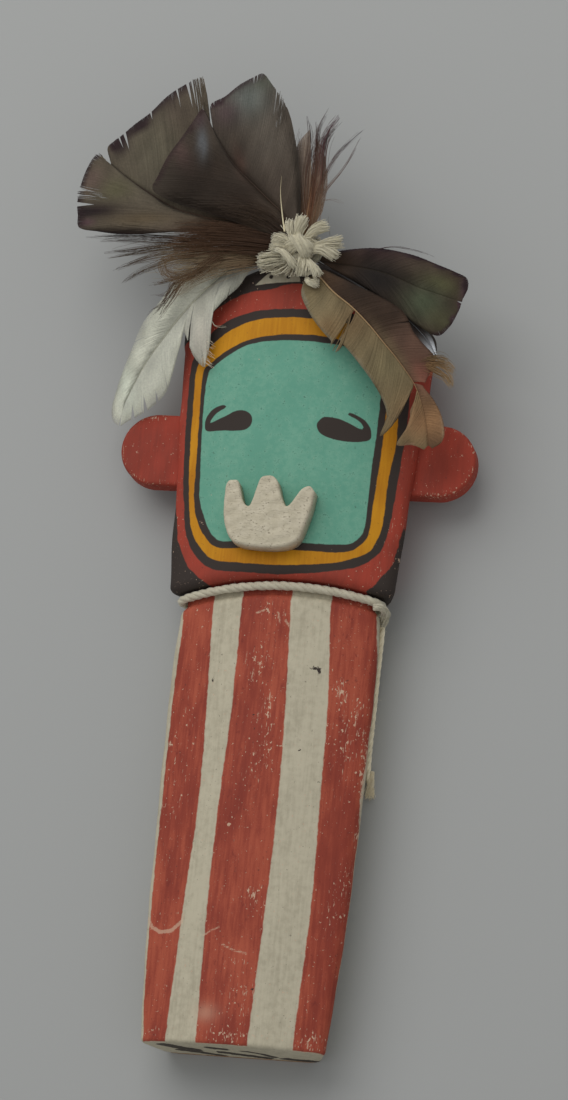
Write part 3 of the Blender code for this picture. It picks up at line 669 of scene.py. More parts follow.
paints = dict(red=seen(139, 62, 45), redDark=seen(114, 47, 36), redPale=seen(152, 77, 56),
    redStain=seen(98, 38, 32), headRed=seen(140, 54, 40), white=seen(163, 156, 136),
    whiteGrey=seen(145, 138, 119), black=seen(46, 39, 35), teal=seen(83, 133, 114),
    tealPale=seen(97, 142, 122), tealDark=seen(60, 104, 90), yellow=seen(172, 119, 20),
    yellowDark=seen(150, 95, 12), ground=seen(174, 148, 126), grain=seen(120, 84, 54),
    barewood=seen(150, 118, 84))


# Paint on carved wood. Colour: the pattern's distances, each shifted by a fine noise,
# pick a paint; long noise along the doll streaks it; flecks of stretched noise, denser
# in the worn places, let the pale ground through. Roughness: more on the bare ground.
# Height: brush streaks plus pits where the ground shows.
def paintedWood():
    material, shader, start, place = newMaterial("painted wood", 0.74, 0.22)

    def mark(name):
        return start.node("ShaderNodeAttribute", attribute_name=name, out="Fac")

    height = start.node("ShaderNodeSeparateXYZ", {0: place}, out=2) / mm
    along = start.node("ShaderNodeSeparateXYZ", {0: place}, out=1) / mm
    waver = (place.noise(2.2, 3) - 0.5) * 0.9
    streak = place.noise(0.8, 4, 0.6, (1, 14, 1))
    broad = place.noise(9, 3, 0.6, (1, 2.5, 1), (3, 1, 0))
    fine = place.noise(0.4, 3, 0.7)
    fleck = place.noise(0.62, 2, 0.5, (1, 1.5, 1), (5, 2, 8))
    hatch = place.noise(0.34, 2, 0.5, (1, 7, 1), (2, 6, 3))
    cloth = place.noise(1.6, 4, 0.6, shift=(7, 3, 1))

    def between(value, low, high, first, second):
        return value.step(low, high).blend(paints[first], paints[second])

    red = between(streak * 0.4 + broad * 0.8, 0.38, 0.8, "redDark", "red")
    glaze = (streak * 0.4 + fine * 0.2 + broad * 0.6).step(0.54, 0.74) * 0.6
    red = glaze.blend(red, paints["redPale"])
    stain = place.noise(1.5, 4, 0.65, (1, 1.8, 1), (9, 1, 3)).step(0.6, 0.72) * 0.55
    red = stain.blend(red, paints["redStain"])
    headRed = between(streak * 0.3 + broad * 0.8, 0.35, 0.75, "redDark", "headRed")
    white = between(streak * 0.35 + cloth * 0.4 + broad * 0.3, 0.36, 0.62, "whiteGrey", "white")
    teal = between(cloth * 0.6 + broad * 0.4, 0.4, 0.66, "teal", "tealPale")
    teal = (fine * 0.5 + cloth * 0.5).step(0.56, 0.68).blend(teal, paints["tealDark"])
    yellow = between(streak * 0.4 + broad * 0.6, 0.3, 0.7, "yellowDark", "yellow")
    black = paints["black"]

    # The head, from its black corners inwards.
    head = (mark("red") + waver).inside(0.16).blend(black, headRed)
    areas = {}
    for name, shift, soft, colour in (
            ("outer", 0.6, 0.14, black), ("yellow", 0.6, 0.14, yellow),
            ("inner", 0.5, 0.14, black), ("teal", 0.5, 0.14, teal), ("eyes", 0.3, 0.12, black),
            ("crown", 0.4, 0.14, white), ("crownDots", 0.3, 0.14, black)):
        areas[name] = (mark(name) + waver * shift).inside(soft)
        head = areas[name].blend(head, colour)

    # The body: red panel with white stripes on a white ground, on the front alone.
    body = (mark("panel") + waver * 0.8).inside(0.18).blend(white, red)
    body = (mark("stripes") + waver * 0.7).inside(0.18).blend(body, white)
    front = (height - pattern["redAbove"] + waver).inside(0.3)
    front = front * (along + pattern["redFromFoot"] + waver * 0.3).inside(0.12)
    body = front.blend(white, body)
    colour = (mark("body") + waver * 0.3).inside(0.2).blend(head, body)

    # Flecks, chips and scratches show the ground; dust gathers in dark specks.
    worn = mark("bare").atMost(2.6)
    onBody = mark("body").step(-1.0, 1.0)
    dots = (fleck + worn * 0.082 + onBody * 0.022 + (fine - 0.5) * 0.1).step(0.76, 0.83)
    lines = (hatch + worn * 0.05 + (fine - 0.5) * 0.1).step(0.7, 0.8) * worn.step(0.3, 0.8)
    calm = (areas["outer"] * 0.45).atLeast(areas["eyes"])
    flecks = dots.atLeast(lines * 0.8) * (1 - calm * 0.85)
    rough = (fine - 0.5) * 1.6 + (fleck - 0.5) * 2.2 - calm * 0.6
    chips = (mark("chips") + rough).step(0.5, 0.62)
    scratches = 1 - (mark("scratch") + (fine - 0.5) * 0.9).step(-0.04, 0.22)
    shown = (flecks * 0.9).atLeast(chips * 0.85).atLeast(scratches * 0.6)
    shown = shown.atLeast(mark("thin") * 0.42)
    colour = shown.blend(colour, paints["ground"])
    spots = (mark("dark") + (fine - 0.5) * 1.4).step(0.45, 0.7)
    dust = place.noise(0.55, 2, 0.5, (1, 1.4, 1), (1, 9, 4)).step(0.69, 0.75) * 0.5
    colour = spots.atLeast(dust).blend(colour, black)

    # The foot: rows of loose dark brush strokes.
    strokes = (mark("footStrokes") + (cloth - 0.5) * 3.0).inside(0.25)
    colour = (strokes * 0.95).blend(colour, black)

    # The back is bare where the brush stopped.
    grain = place.noise(0.9, 4, 0.6, (1, 16, 1), (4, 4, 4))
    backside = 1 - (height + waver * 1.6).step(0.8, 1.6)
    colour = backside.blend(colour, between(grain, 0.35, 0.7, "grain", "barewood"))

    relief = streak * 0.45 + fine * 0.25 + cloth * 0.3 - shown * 0.4
    connect(shader, {"Base Color": colour, "Roughness": shown * 0.12 + 0.7}, start, relief,
            0.12, 0.6)
    return material


def makeWood():
    points, faces = joined([woodLoft(), earSlab(-1), earSlab(1)])
    meshPiece("paintedFigure", "wooden_figure", "painted_wood", points, faces, paintedWood(),
              paintMarks(points))


makeWood()
print("wood made")


# Mouth: a thin slab of three prongs that follows the face.

mouth = dict(x=-2.7, y=31.5, gap=0.3, thick=4.4, edge=0.8, wavy=0.12, waveSize=5, columns=200,
    rows=70,
    upper=((-11.8, 3), (-11.8, 6.6), (-11.2, 8.5), (-10, 8.8), (-8.6, 8.5), (-7.7, 6.2), (-6.7, 3.2),
        (-5.2, 2), (-4.3, 3.6), (-3.6, 6.6), (-2.8, 9.2), (-1.4, 9.9), (0.4, 9.8), (1.8, 8.3), (2.9, 5),
        (4.2, 2.5), (5.2, 2.6), (6.6, 4.8), (8, 6.9), (9.8, 7.8), (11.2, 6.4)),
    lower=((-11.8, 3), (-11.2, -1.8), (-9.4, -6), (-6.8, -7.8), (-2, -8.5), (3, -8.5), (6.6, -7.6),
        (8.6, -5.6), (9.9, -1.4), (10.8, 2.6), (11.2, 6.4)))


def mouthSlab():
    upper = evenCurve(mouth["upper"], mouth["columns"])
    lower = evenCurve(mouth["lower"], mouth["columns"])
    x = np.maximum.accumulate(upper[:, 0] + np.linspace(0, 1e-3, len(upper)))
    low = np.interp(x, np.maximum.accumulate(lower[:, 0]), lower[:, 1])
    high = np.maximum(upper[:, 1], low + 0.02)
    head = wood["headThick"]

    def face(gx, gy):
        middle = centreX(gy + mouth["y"])
        return frontHeight(gx + mouth["x"] - middle, head) + mouth["gap"]

    def top(gx, gy, inward):
        worn = mouth["wavy"] * softNoise(gx, gy, mouth["waveSize"], 8)
        return face(gx, gy) + mouth["thick"] + worn - quarterDrop(inward, mouth["edge"])

    points, faces = slab(x, high, low, mouth["rows"], top, lambda gx, gy, inward: face(gx, gy))
    return points + (mouth["x"], mouth["y"], 0), faces


# White paint on the mouth. Colour: cream, greyed by broad and grain noise, with darker
# pits and cracks. Height: the same grain, less the pits and cracks.
def whitePaint():
    material, shader, start, place = newMaterial("white mouth paint", 0.8, 0.25)
    grain = place.noise(0.4, 4, 0.65, (3, 1, 1))
    broad = place.noise(2.4, 4, 0.6)
    pits = place.noise(0.42, 2, 0.5, (1.6, 1, 1), (3, 3, 3)) + (broad - 0.5) * 0.25
    cracks = 1 - (place.noise(3.2, 3, 0.6, (3, 1, 1), (1, 7, 2)) - 0.5).far().step(0.0, 0.012)
    colour = (grain * 0.4 + broad * 0.6).step(0.35, 0.7).blend(seen(159, 151, 131),
                                                               seen(176, 168, 149))
    marks = pits.step(0.64, 0.72).atLeast(cracks * 0.35)
    colour = (marks * 0.6).blend(colour, seen(104, 92, 72))
    connect(shader, {"Base Color": colour}, start, grain * 0.35 + broad * 0.15 - marks, 0.12, 0.8)
    return material


def makeMouth():
    points, faces = mouthSlab()
    meshPiece("mouthSlab", "mouth_piece", "white_paint", points, faces, whitePaint())


makeMouth()


# The twisted string round the neck, its loose end and the knot.

# Cotton. Colour: cream, darker where the strand's own tone is low. Height: fine fibre
# noise.
def cotton(name, dark, pale):
    material, shader, start, place = newMaterial(name, 0.92, 0.15)
    tone = start.node("ShaderNodeAttribute", attribute_name="tone", out="Fac")
    fibre = place.noise(0.35, 3, 0.6)
    colour = (tone + (fibre - 0.5) * 0.5).step(0.0, 1.0).blend(dark, pale)
    shader.inputs["Sheen Weight"].default_value = 0.3
    connect(shader, {"Base Color": colour}, start, fibre, 0.06, 0.6)
    return material


# Plies wound round a path: each is a helix of the given radius (wind) and pitch.
def plies(path, up, count, wind, plyRadius, pitch, swell):
    step = np.linalg.norm(np.diff(path, axis=0, append=path[:1]), axis=1)
    run = np.r_[0, np.cumsum(step)[:-1]]
    side, over = across(unit(np.gradient(path, axis=0)), up)
    made = []
    for k in range(count):
        angle = (2 * math.pi * (run / pitch + k / count))[:, None]
        spread = wind * (1 + swell * softNoise(run, run * 0, 7, k))[:, None]
        made.append(path + spread * (side * np.cos(angle) + over * np.sin(angle)))
    return np.stack(made), np.full((count, len(path)), plyRadius)


# Short curved fibres that stand off a path and stay above the floor.
def fuzz(path, count, radius, length, random, width=0.02, floor=0.1):
    at = random.integers(1, len(path) - 1, count)
    out = unit(random.normal(size=(count, 3)))
    bend = unit(random.normal(size=(count, 3)))
    share = np.linspace(0, 1, 5)[None, :, None]
    size = (length * random.uniform(0.4, 1.0, count))[:, None, None]
    start = path[at][:, None] + out[:, None] * radius * 0.8
    hairs = start + size * (out[:, None] * share * 0.6 + bend[:, None] * share**2 * 0.8)
    hairs[..., 2] = np.maximum(hairs[..., 2], floor)
    return hairs, np.full((count, 5), width)


# Reads a path of evenly spaced points for strands that are each cut to a share of it.
def cutShort(cut, points):
    at = np.linspace(0, 1, points)[None] * cut * (points - 1)
    low = np.minimum(at.astype(int), points - 2)
    mix = (at - low)[..., None]
    return lambda values: values[low] * (1 - mix) + values[low + 1] * mix


# Strands start gathered, twist and wander a little, and are cut at uneven lengths.
strand = dict(gather=0.75, twist=1.4, wander=0.07, flat=0.8, cuts=(0.72, 0.98, 1.0))


# A bundle of fine strands along a curve, with ends that splay.
def bundle(knots, count, radius, splay, random, width, points=12):
    path = evenCurve(knots, points)
    side, over = across(unit(np.gradient(path, axis=0)), (0, 0, 1))
    share = np.linspace(0, 1, points)[None, :, None]
    angle = random.uniform(0, 2 * math.pi, count)[:, None, None]
    reach = (radius * np.sqrt(random.uniform(0, 1, count)))[:, None, None]
    reach = reach * (strand["gather"] + (splay - strand["gather"]) * share**1.5)
    twist = angle + share * strand["twist"]
    wander = strand["wander"] * np.cumsum(random.normal(size=(count, points, 3)), axis=1)
    read = cutShort(random.triangular(*strand["cuts"], count)[:, None], points)
    paths = read(path) + read(side) * reach * np.cos(twist) \
        + read(over) * reach * np.sin(twist) * strand["flat"] + wander
    return paths, np.full((count, points), width)


# The string's free end. Steps are (out, along, up) from where it leaves the neck. A twist
# is how far the plies wind, their radius, pitch and swelling; fuzz is (hairs, radius,
# length), and strands are (how many, radius, splay).
tail = dict(
    steps=((0.3, -0.6, 8.6), (0.3, -3.4, 7.6), (0.3, -7.4, 6), (0.3, -12.4, 3.6), (0.3, -19.4, 1.6),
        (0.3, -27.4, 0.8), (0.4, -34.4, 0.8), (0.8, -39.4, 0.8), (1.8, -43.9, 0.8)),
    points=18, diameter=1.6, ringRadius=1.1, seed=21, rows=220, twist=(0.26, 0.52, 6.4, 0.1),
    tones=(0.72, 0.8, 0.66), fuzz=(200, 0.75, 0.8), frayedStrands=(150, 0.5, 2.6), frayedWidth=0.035,
    frayed=((0.1, 5.6, 0.1), (0, 3, 0.1), (-0.1, 0.8, 0.1), (0, -1.4, 0)), floor=0.08,
    thinFrom=0.8, thinBy=0.4)


def tailRoute():
    steps = smoothCurve(tail["steps"], np.linspace(0, len(tail["steps"]) - 1, tail["points"]))
    out, along, up = steps.T
    shoulder = spreadWidth(wood["bodyHalf"], wood["footY"], shoulderY, np.array([shoulderY]))
    neck = wood["neckY"]
    y = neck + neckArch(shoulder, np.array([neck])) - tail["ringRadius"] + along
    z = np.maximum(up, tail["diameter"] / 2)
    width = spreadWidth(wood["bodyHalf"], wood["footY"], shoulderY, np.minimum(y, shoulderY))
    lean = wood["sideTaper"] * (1 - z / frontHeight(shoulder, wood["bodyThick"]))
    return np.column_stack([centreX(y) + width - lean + out + tail["diameter"] / 2, y, z])


# The string round the neck: the knot's line, and the ring's half width, crest and back
# height. Its twist, fuzz and strands are given as for the free end.
ring = dict(
    knot=((24.6, 11.2, 17.6), (26.3, 11.5, 16.2), (26.9, 10.9, 13.6), (26.2, 9.8, 10.8),
        (25.6, 9, 8.8)),
    half=26.2, crest=19.3, back=1.19, points=520, seed=22, twist=(0.4, 0.72, 6.4, 0.12),
    tones=(0.7, 0.76, 0.66), fuzz=(520, 1.05, 0.9), knotStrands=(170, 1, 0.8), knotWidth=0.09,
    knotPoints=16)


def ringPath():
    right = halfSections(np.array([ring["half"]]), np.array([ring["crest"]]),
                         np.array([ring["back"]]))[0]
    loop = np.vstack([right, right[::-1] * (-1, 1), right[:1]])
    lengths = np.r_[0, np.cumsum(np.linalg.norm(np.diff(loop, axis=0), axis=1))]
    wanted = np.linspace(0, lengths[-1], ring["points"], endpoint=False)
    x = np.interp(wanted, lengths, loop[:, 0])
    z = np.interp(wanted, lengths, loop[:, 1])
    neck = wood["neckY"]
    return np.column_stack([x + centreX(neck), neck + neckArch(x, neck), z])


# Tubes with one tone each.
def toned(paths, radii, sides, up, closed, tones):
    points, faces = tubes(paths, radii, radii, sides, up, closed)
    return points, faces, np.repeat(tones, paths.shape[1] * sides)


# Thin strands, each with its own tone from low to 1.
def strands(made, up, low, random):
    paths, radii = made
    return toned(paths, radii, 4, up, False, random.uniform(low, 1.0, len(paths)))


# Joins tubes and keeps each one's tone.
def tonedPiece(name, node, slot, parts, material):
    points, faces = joined(parts)
    tones = np.concatenate([part[2] for part in parts])
    return meshPiece(name, node, slot, points, faces, material, {"tone": tones})


def makeString(material):
    random = np.random.default_rng(ring["seed"])
    path = ringPath()
    lay, radii = plies(path, (0, 1, 0), 3, *ring["twist"])
    hairs = fuzz(path, *ring["fuzz"], random)
    knot = bundle(ring["knot"], *ring["knotStrands"], random, ring["knotWidth"],
                  ring["knotPoints"])
    tonedPiece("neckString", "neck_string", "cotton_string", [
        strands(knot, (0, 1, 0.2), 0.85, random),
        toned(lay, radii, 8, (0, 1, 0), True, np.array(ring["tones"])),
        strands(hairs, (0.3, 1, 0.2), 0.5, random)], material)


def makeTail(material):
    random = np.random.default_rng(tail["seed"])
    route = tailRoute()
    path = evenCurve(route, tail["rows"])
    lay, radii = plies(path, (0, 0, 1), 3, *tail["twist"])
    ending = smoothStep(tail["thinFrom"], 1.0, np.linspace(0, 1, tail["rows"]))
    radii = radii * (1 - tail["thinBy"] * ending)
    hairs = fuzz(path, *tail["fuzz"], random)
    frayed = bundle(route[-1] + np.array(tail["frayed"]), *tail["frayedStrands"], random,
                    tail["frayedWidth"])
    frayed[0][..., 2] = np.maximum(frayed[0][..., 2], tail["floor"])
    item = tonedPiece("neckStringTail", "neck_string_tail", "cotton_string", [
        toned(lay, radii, 8, (0, 0, 1), False, np.array(tail["tones"])),
        strands(hairs, (0.2, 0.1, 1), 0.5, random),
        strands(frayed, (0.2, 0.1, 1), 0.6, random)], material)
    length = float(np.linalg.norm(np.diff(route, axis=0), axis=1).sum()) * mm


stringCotton = cotton("string cotton", seen(116, 109, 91), seen(174, 168, 149))
# Painted light: the loose end uses the string's cotton made much paler, which lifts it out of the shade
# it lies in beside the body.
tailCottonPaintedLight = cotton("tail cotton painted light", seen(158, 148, 124), seen(214, 204, 178))
makeTail(tailCottonPaintedLight)
makeString(stringCotton)
print("string made")


# Cotton that ties the feathers. Strands are (how many, radius, splay, darkest tone,
# points) for each kind of line. An end is three (x, y), its radius and its lift, and a
# wrap is (middle, half width, half length, lean).
tie = dict(seed=31, height=28.6, strand=0.072, endRises=(-0.6, 0.4, -0.3),
    wrapY=100.0, wrapDrop=1.6, wrapRise=2.2, wrapBulge=0.5,
    strands=dict(ends=(120, 0.9, 1.45, 0.6, 9), caps=(120, 1.25, 0.9, 0.6, 9),
        haze=(64, 1.7, 1.5, 0.2, 9), wraps=(90, 1.5, 1, 0.5, 16), lump=(160, 4.4, 0.7, 0.45, 8)),
    lump=((-3.4, 100.4, 22.8), (-1.8, 101.4, 24.6), (-0.4, 100.4, 26.6), (0.6, 100, 28.2)),
    ends=(((-2.6, 101.5), (-3.2, 104.4), (-4.5, 107), 1.35, 1.2),
        ((-1.8, 102), (-1.2, 105), (-0.8, 108.3), 1.45, 1.6),
        ((-0.6, 101), (2.6, 104.8), (5.9, 106.5), 1.3, 0.9),
        ((0.2, 99.8), (5, 101), (9.9, 102.6), 1.35, 0.3),
        ((1, 99.4), (5, 99.8), (9.2, 98.2), 1.25, 0.8),
        ((-2.4, 101.2), (-5.6, 102.4), (-8.4, 102.4), 1.25, 0.4),
        ((-2.6, 100.4), (-6, 100.4), (-8.6, 99.8), 1.2, 0),
        ((-4, 99), (-8, 98), (-12, 96.8), 1.5, -1.2),
        ((-6.8, 99.4), (-4.2, 98), (-1.2, 94.6), 0.75, 1.9),
        ((-0.4, 99), (0.3, 95.8), (0.4, 92.8), 1.4, 0.6), ((0.8, 97.6), (3, 95.2), (4.8, 92.6), 1, 0.9),
        ((1.2, 92.6), (2.8, 91.4), (4.6, 91.4), 0.9, -0.2)),
    wraps=((-0.4, 3.1, 2, 0.3), (-1.6, 3.4, 2.4, 1.6), (0.4, 2.8, 2.6, 2.6)),
    caps=(((-5.4, 99.6, -0.4), (-2.8, 101, 1.9), (0.2, 101.2, 2.2), (3.2, 99.8, 0.2)),
        ((-3.6, 103.6, 0.2), (-2, 101.6, 2.6), (-0.2, 99.6, 2.2), (1.6, 97.2, 0.2)),
        ((1.8, 103, 0), (0.2, 101.6, 2.2), (-2, 100, 2), (-4.4, 98.2, 0)),
        ((-1.6, 104.4, 0.6), (-1, 102.4, 2.4), (0.8, 100.6, 2.4), (2.8, 98.6, 0.4))),
    haze=(((-5, 98.6, -1), (-8, 97.4, -1.8), (-11.4, 96.4, -3)),
        ((-4.4, 97.6, -1.2), (-6.6, 96.4, -2.2), (-8.6, 95, -3.2)),
        ((-3.4, 97.4, -1), (-4, 95.6, -1.8), (-4.6, 94.2, -2.8))))


def makeTie():
    random = np.random.default_rng(tie["seed"])
    high = tie["height"]
    parts = []

    def add(knots, kind, swell=1.0):
        count, radius, splay, low, points = tie["strands"][kind]
        parts.append(strands(bundle(knots, count, swell * radius, splay, random,
                                    tie["strand"], points), (0.1, 0, 1), low, random))

    for *knots, radius, lift in tie["ends"]:
        rises = zip(knots, tie["endRises"])
        add([(*knot, high + lift + rise) for knot, rise in rises], "ends", radius)
    for kind in ("caps", "haze"):
        for line in tie[kind]:
            add(np.array(line) + (0, 0, high), kind)
    turns = np.linspace(0, 2 * math.pi, 13)
    for middle, wide, long, lean in tie["wraps"]:
        x = middle + wide * np.cos(turns) + tie["wrapBulge"] * np.cos(2 * turns + lean)
        y = tie["wrapY"] + long * np.sin(turns + lean)
        z = high - tie["wrapDrop"] + tie["wrapRise"] * np.sin(turns * 2 + lean)
        add(np.column_stack([x, y, z]), "wraps")
    add(np.array(tie["lump"]), "lump")
    material = cotton("knot cotton", seen(120, 112, 92), seen(186, 180, 158))
    tonedPiece("featherTie", "feather_tie", "loose_cotton", parts, material)


makeTie()
print("tie made")


# Feathers: barbs run from a shaft to an edge. A vane's edge is a list of (t, x, y),
# where t is the place along the shaft that the barb comes from. A rachis is (radius, root
# colour, tip colour), and a quill is one more shaft with its line first and layer last.

layers = dict(base=24.0, pitch=1.1, spread=0.03, droop=0.0008, plumeDroop=0.0028,
              tieX=-1.7, tieY=101.6)


def layerHeight(layer, x, y, droop):
    distance = np.hypot(x - layers["tieX"], y - layers["tieY"])
    return layers["base"] + layer * (layers["pitch"] + layers["spread"] * distance) \
        - droop * distance**2


# A colour without its alpha.
def barbColour(colour, gain=1.5):
    return np.array(seen(*colour, gain)[:3])


# Colour of points: a base with soft oval patches, each (x, y, half length, half width,
# turn in degrees, colour, strength).
def featherTint(x, y, look):
    glow = look.get("gain", 1.25)
    tint = np.broadcast_to(barbColour(look["base"], glow), (*x.shape, 3)).copy()
    for spotX, spotY, long, wide, turn, colour, strength in look.get("patches", ()):
        angle = math.radians(turn)
        along = (x - spotX) * math.cos(angle) + (y - spotY) * math.sin(angle)
        other = (y - spotY) * math.cos(angle) - (x - spotX) * math.sin(angle)
        mask = strength * np.exp(-((along / long) ** 2 + (other / wide) ** 2))
        tint += mask[..., None] * (barbColour(colour, glow) - tint)
    return tint


# How a barb strays towards its tip and where it frays, how far a slit bends its neighbours
# in t, and its sizes. Waves and clouds are soft unevenness in height and in colour.
barb = dict(slitReach=0.035, strayFrom=0.55, strayPower=1.5, jitter=0.02, frayJitter=0.7,
            frayLift=0.25, frayThin=0.55, lift=0.01, widths=(0.05, 0.6), leastWidth=0.03,
            halfThick=0.014, points=12, wave=0.12, waveSize=14.0, cloud=0.1, cloudSize=7.0)


# Opens slits in a vane's edge, each (t, depth in mm, gap in mm). Left is how far each
# point still is from the edge.
def openSlits(path, end, slits, t, left):
    edgeward = unit(np.gradient(end, axis=0))[:, None]
    for where, depth, gap in slits:
        away = t - where
        open = np.sign(away) * gap / 2 * np.exp(-np.abs(away) / barb["slitReach"])
        path = path + edgeward * (open[:, None] * (1 - smoothStep(0, depth, left)))[..., None]
    return path


# Draws the barbs together in clumps towards their tips.
def clumped(path, end, vane, share):
    clumps = vane["clumps"]
    count = len(end)
    cell = np.linspace(0, clumps - 1e-6, count)
    middle = np.floor(cell) + 0.5 + 0.3 * np.sin(7.3 * np.floor(cell))
    towards = np.clip(np.round(middle / clumps * (count - 1)).astype(int), 0, count - 1)
    return path + (end[towards] - end)[:, None] * vane["pull"] * smoothStep(0.2, 1.0, share)


# The barbs' colours. A band is (colour, width in mm, first t, last t) along the edge,
# and each barb has a tone of its own.
def barbTint(x, y, t, left, vane, look, random):
    tint = featherTint(x, y, vane.get("look", look))
    for colour, wide, first, last in vane.get("bands", ()):
        inRange = smoothStep(first - 0.03, first + 0.03, t) \
            * (1 - smoothStep(last - 0.03, last + 0.03, t))
        depth = left + 0.5 * np.sin(t * 40)[:, None]
        mask = inRange[:, None] * (1 - smoothStep(wide * 0.5, wide * 1.3, depth))
        tint += mask[..., None] * (barbColour(colour, 1.1) - tint)
    tone = 1 + vane.get("vary", 0.04) * random.normal(size=(len(t), 1, 1))
    cloud = 1 + barb["cloud"] * softNoise(x, y, barb["cloudSize"], 4)[..., None]
    return np.clip(tint * tone * cloud, 0.002, 0.95)


# One side of a feather. A fray is (t, reach in t, amount).
def makeVane(shaft, vane, look, layer, droop, random):
    knots = np.array(vane["edge"])
    count = vane["barbs"]
    t = np.linspace(knots[0, 0], knots[-1, 0], count)
    end = smoothCurve(knots[:, 1:], np.interp(t, knots[:, 0], np.arange(len(knots))))
    start = smoothCurve(shaft, t * (len(shaft) - 1))
    share = np.linspace(0, 1, barb["points"])
    size = np.linalg.norm(end - start, axis=1)
    forward = unit(np.gradient(start, axis=0))[:, None]
    bow = (vane["bow"] * size)[:, None, None]
    s = share[None, :, None]
    path = start[:, None] * (1 - s) + end[:, None] * s - forward * bow * 4 * s * (1 - s)
    spacing = np.linalg.norm(np.gradient(path, axis=0), axis=-1)
    left = size[:, None] * (1 - share[None])
    path = openSlits(path, end, vane.get("slits", ()), t, left)
    fray = np.zeros(count)
    for where, reach, amount in vane.get("frays", ()):
        fray = np.maximum(fray, amount * np.exp(-((t - where) / reach) ** 2))
    amount = fray * barb["frayJitter"] + barb["jitter"]
    loose = random.normal(size=(count, 2)) * amount[:, None]
    tipShare = (smoothStep(barb["strayFrom"], 1.0, share) ** barb["strayPower"])[None, :, None]
    path = path + loose[:, None] * tipShare
    if "clumps" in vane:
        path = clumped(path, end, vane, s)
    x, y = path[..., 0], path[..., 1]
    flat = np.broadcast_to(share[None], x.shape)
    camber = vane.get("camber", 0.5) * 4 * flat * (1 - flat)
    wave = barb["wave"] * softNoise(x, y, barb["waveSize"], 9) * flat
    lift = random.uniform(-barb["lift"], barb["lift"], (count, 1)) \
        + barb["frayLift"] * (fray[:, None] * flat)
    z = layerHeight(layer, x, y, droop) + camber + wave + lift
    width = np.clip(spacing, *barb["widths"]) * vane.get("cover", 0.85)
    pointed = smoothStep(vane.get("blunt", 0.96), 1.0, flat) * vane.get("point", 0.4)
    thinned = 1 - barb["frayThin"] * fray[:, None] * flat
    width = np.maximum(width * (1 - pointed) * thinned, barb["leastWidth"])
    corners, faces = tubes(np.dstack([x, y, z]), width, np.full_like(width, barb["halfThick"]))
    tint = barbTint(x, y, t, left, vane, look, random)
    return corners, faces, np.repeat(tint.reshape(-1, 3), 4, axis=0)


# The shaft of a feather, thinner towards its tip, with a colour that runs along it.
def makeRachis(shaft, radius, root, tip, layer, droop, lift=0.3, points=50, sides=8):
    line = evenCurve(shaft, points)
    share = np.linspace(0, 1, points)
    z = layerHeight(layer, line[:, 0], line[:, 1], droop) + lift
    radii = (radius * (1 - 0.85 * share))[None]
    corners, faces = tubes(np.column_stack([line, z])[None], radii, radii, sides)
    tint = barbColour(root) * (1 - share)[:, None] + barbColour(tip) * share[:, None]
    return corners, faces, np.repeat(tint, sides, axis=0)


tuft = dict(points=16, halfWidth=0.06, taper=0.6, sway=0.25, swayTurns=7.0, scatter=0.35,
            brightness=(0.8, 1.2), cuts=(0.75, 1.0))


# Loose barbs round given lines. Each tuft is (line, count, spread at its root,
# spread at its tip, root colour, tip colour, and mm above its layer if any).
def makeTufts(tufts, layer, droop, random):
    points = tuft["points"]
    parts = []
    for line, count, rootSpread, tipSpread, rootColour, tipColour, *over in tufts:
        path = evenCurve(line, points)
        share = np.linspace(0, 1, points)[None, :, None]
        offset = random.normal(size=(count, 1, 2))
        spread = rootSpread * (1 - share) ** 0.7 + tipSpread * share
        phase = random.uniform(0, 2 * math.pi, (count, 1, 1))
        sway = tuft["sway"] * np.sin(share * tuft["swayTurns"] + phase) \
            * random.normal(size=(count, 1, 2))
        base = cutShort(random.uniform(*tuft["cuts"], (count, 1)), points)(path)
        flatPath = base + offset * spread + sway * share * (1 - 0.5 * share)
        x, y = flatPath[..., 0], flatPath[..., 1]
        z = layerHeight(layer, x, y, droop) + sum(over) \
            + random.normal(size=(count, 1)) * tuft["scatter"] * (0.4 + share[..., 0])
        radii = np.broadcast_to(tuft["halfWidth"] * (1 - tuft["taper"] * share[..., 0]), x.shape)
        somePoints, faces = tubes(np.dstack([x, y, z]), radii, radii)
        tint = barbColour(rootColour) * (1 - share) + barbColour(tipColour) * share
        tint = tint * random.uniform(*tuft["brightness"], (count, 1, 1))
        parts.append((somePoints, faces, np.repeat(tint.reshape(-1, 3), 4, axis=0)))
    return parts


# Feather. Colour: the barbs' own tints, a little darker in fine noise. Roughness: lower
# where the noise is dark, for a faint gloss. Height: the same noise.
def featherMaterial(name, sheen, roughness):
    material, shader, start, place = newMaterial(name, roughness, 0.15)
    tint = start.node("ShaderNodeAttribute", attribute_name="tint", out="Color")
    fibre = place.noise(0.5, 3, 0.6)
    shade = (fibre.step(0.2, 0.8) * 0.2).blend(tint, (0.004, 0.003, 0.002, 1))
    shader.inputs["Sheen Weight"].default_value = sheen
    connect(shader, {"Base Color": shade, "Roughness": fibre * 0.2 + roughness - 0.1}, start,
            fibre, 0.03, 0.4)
    return material


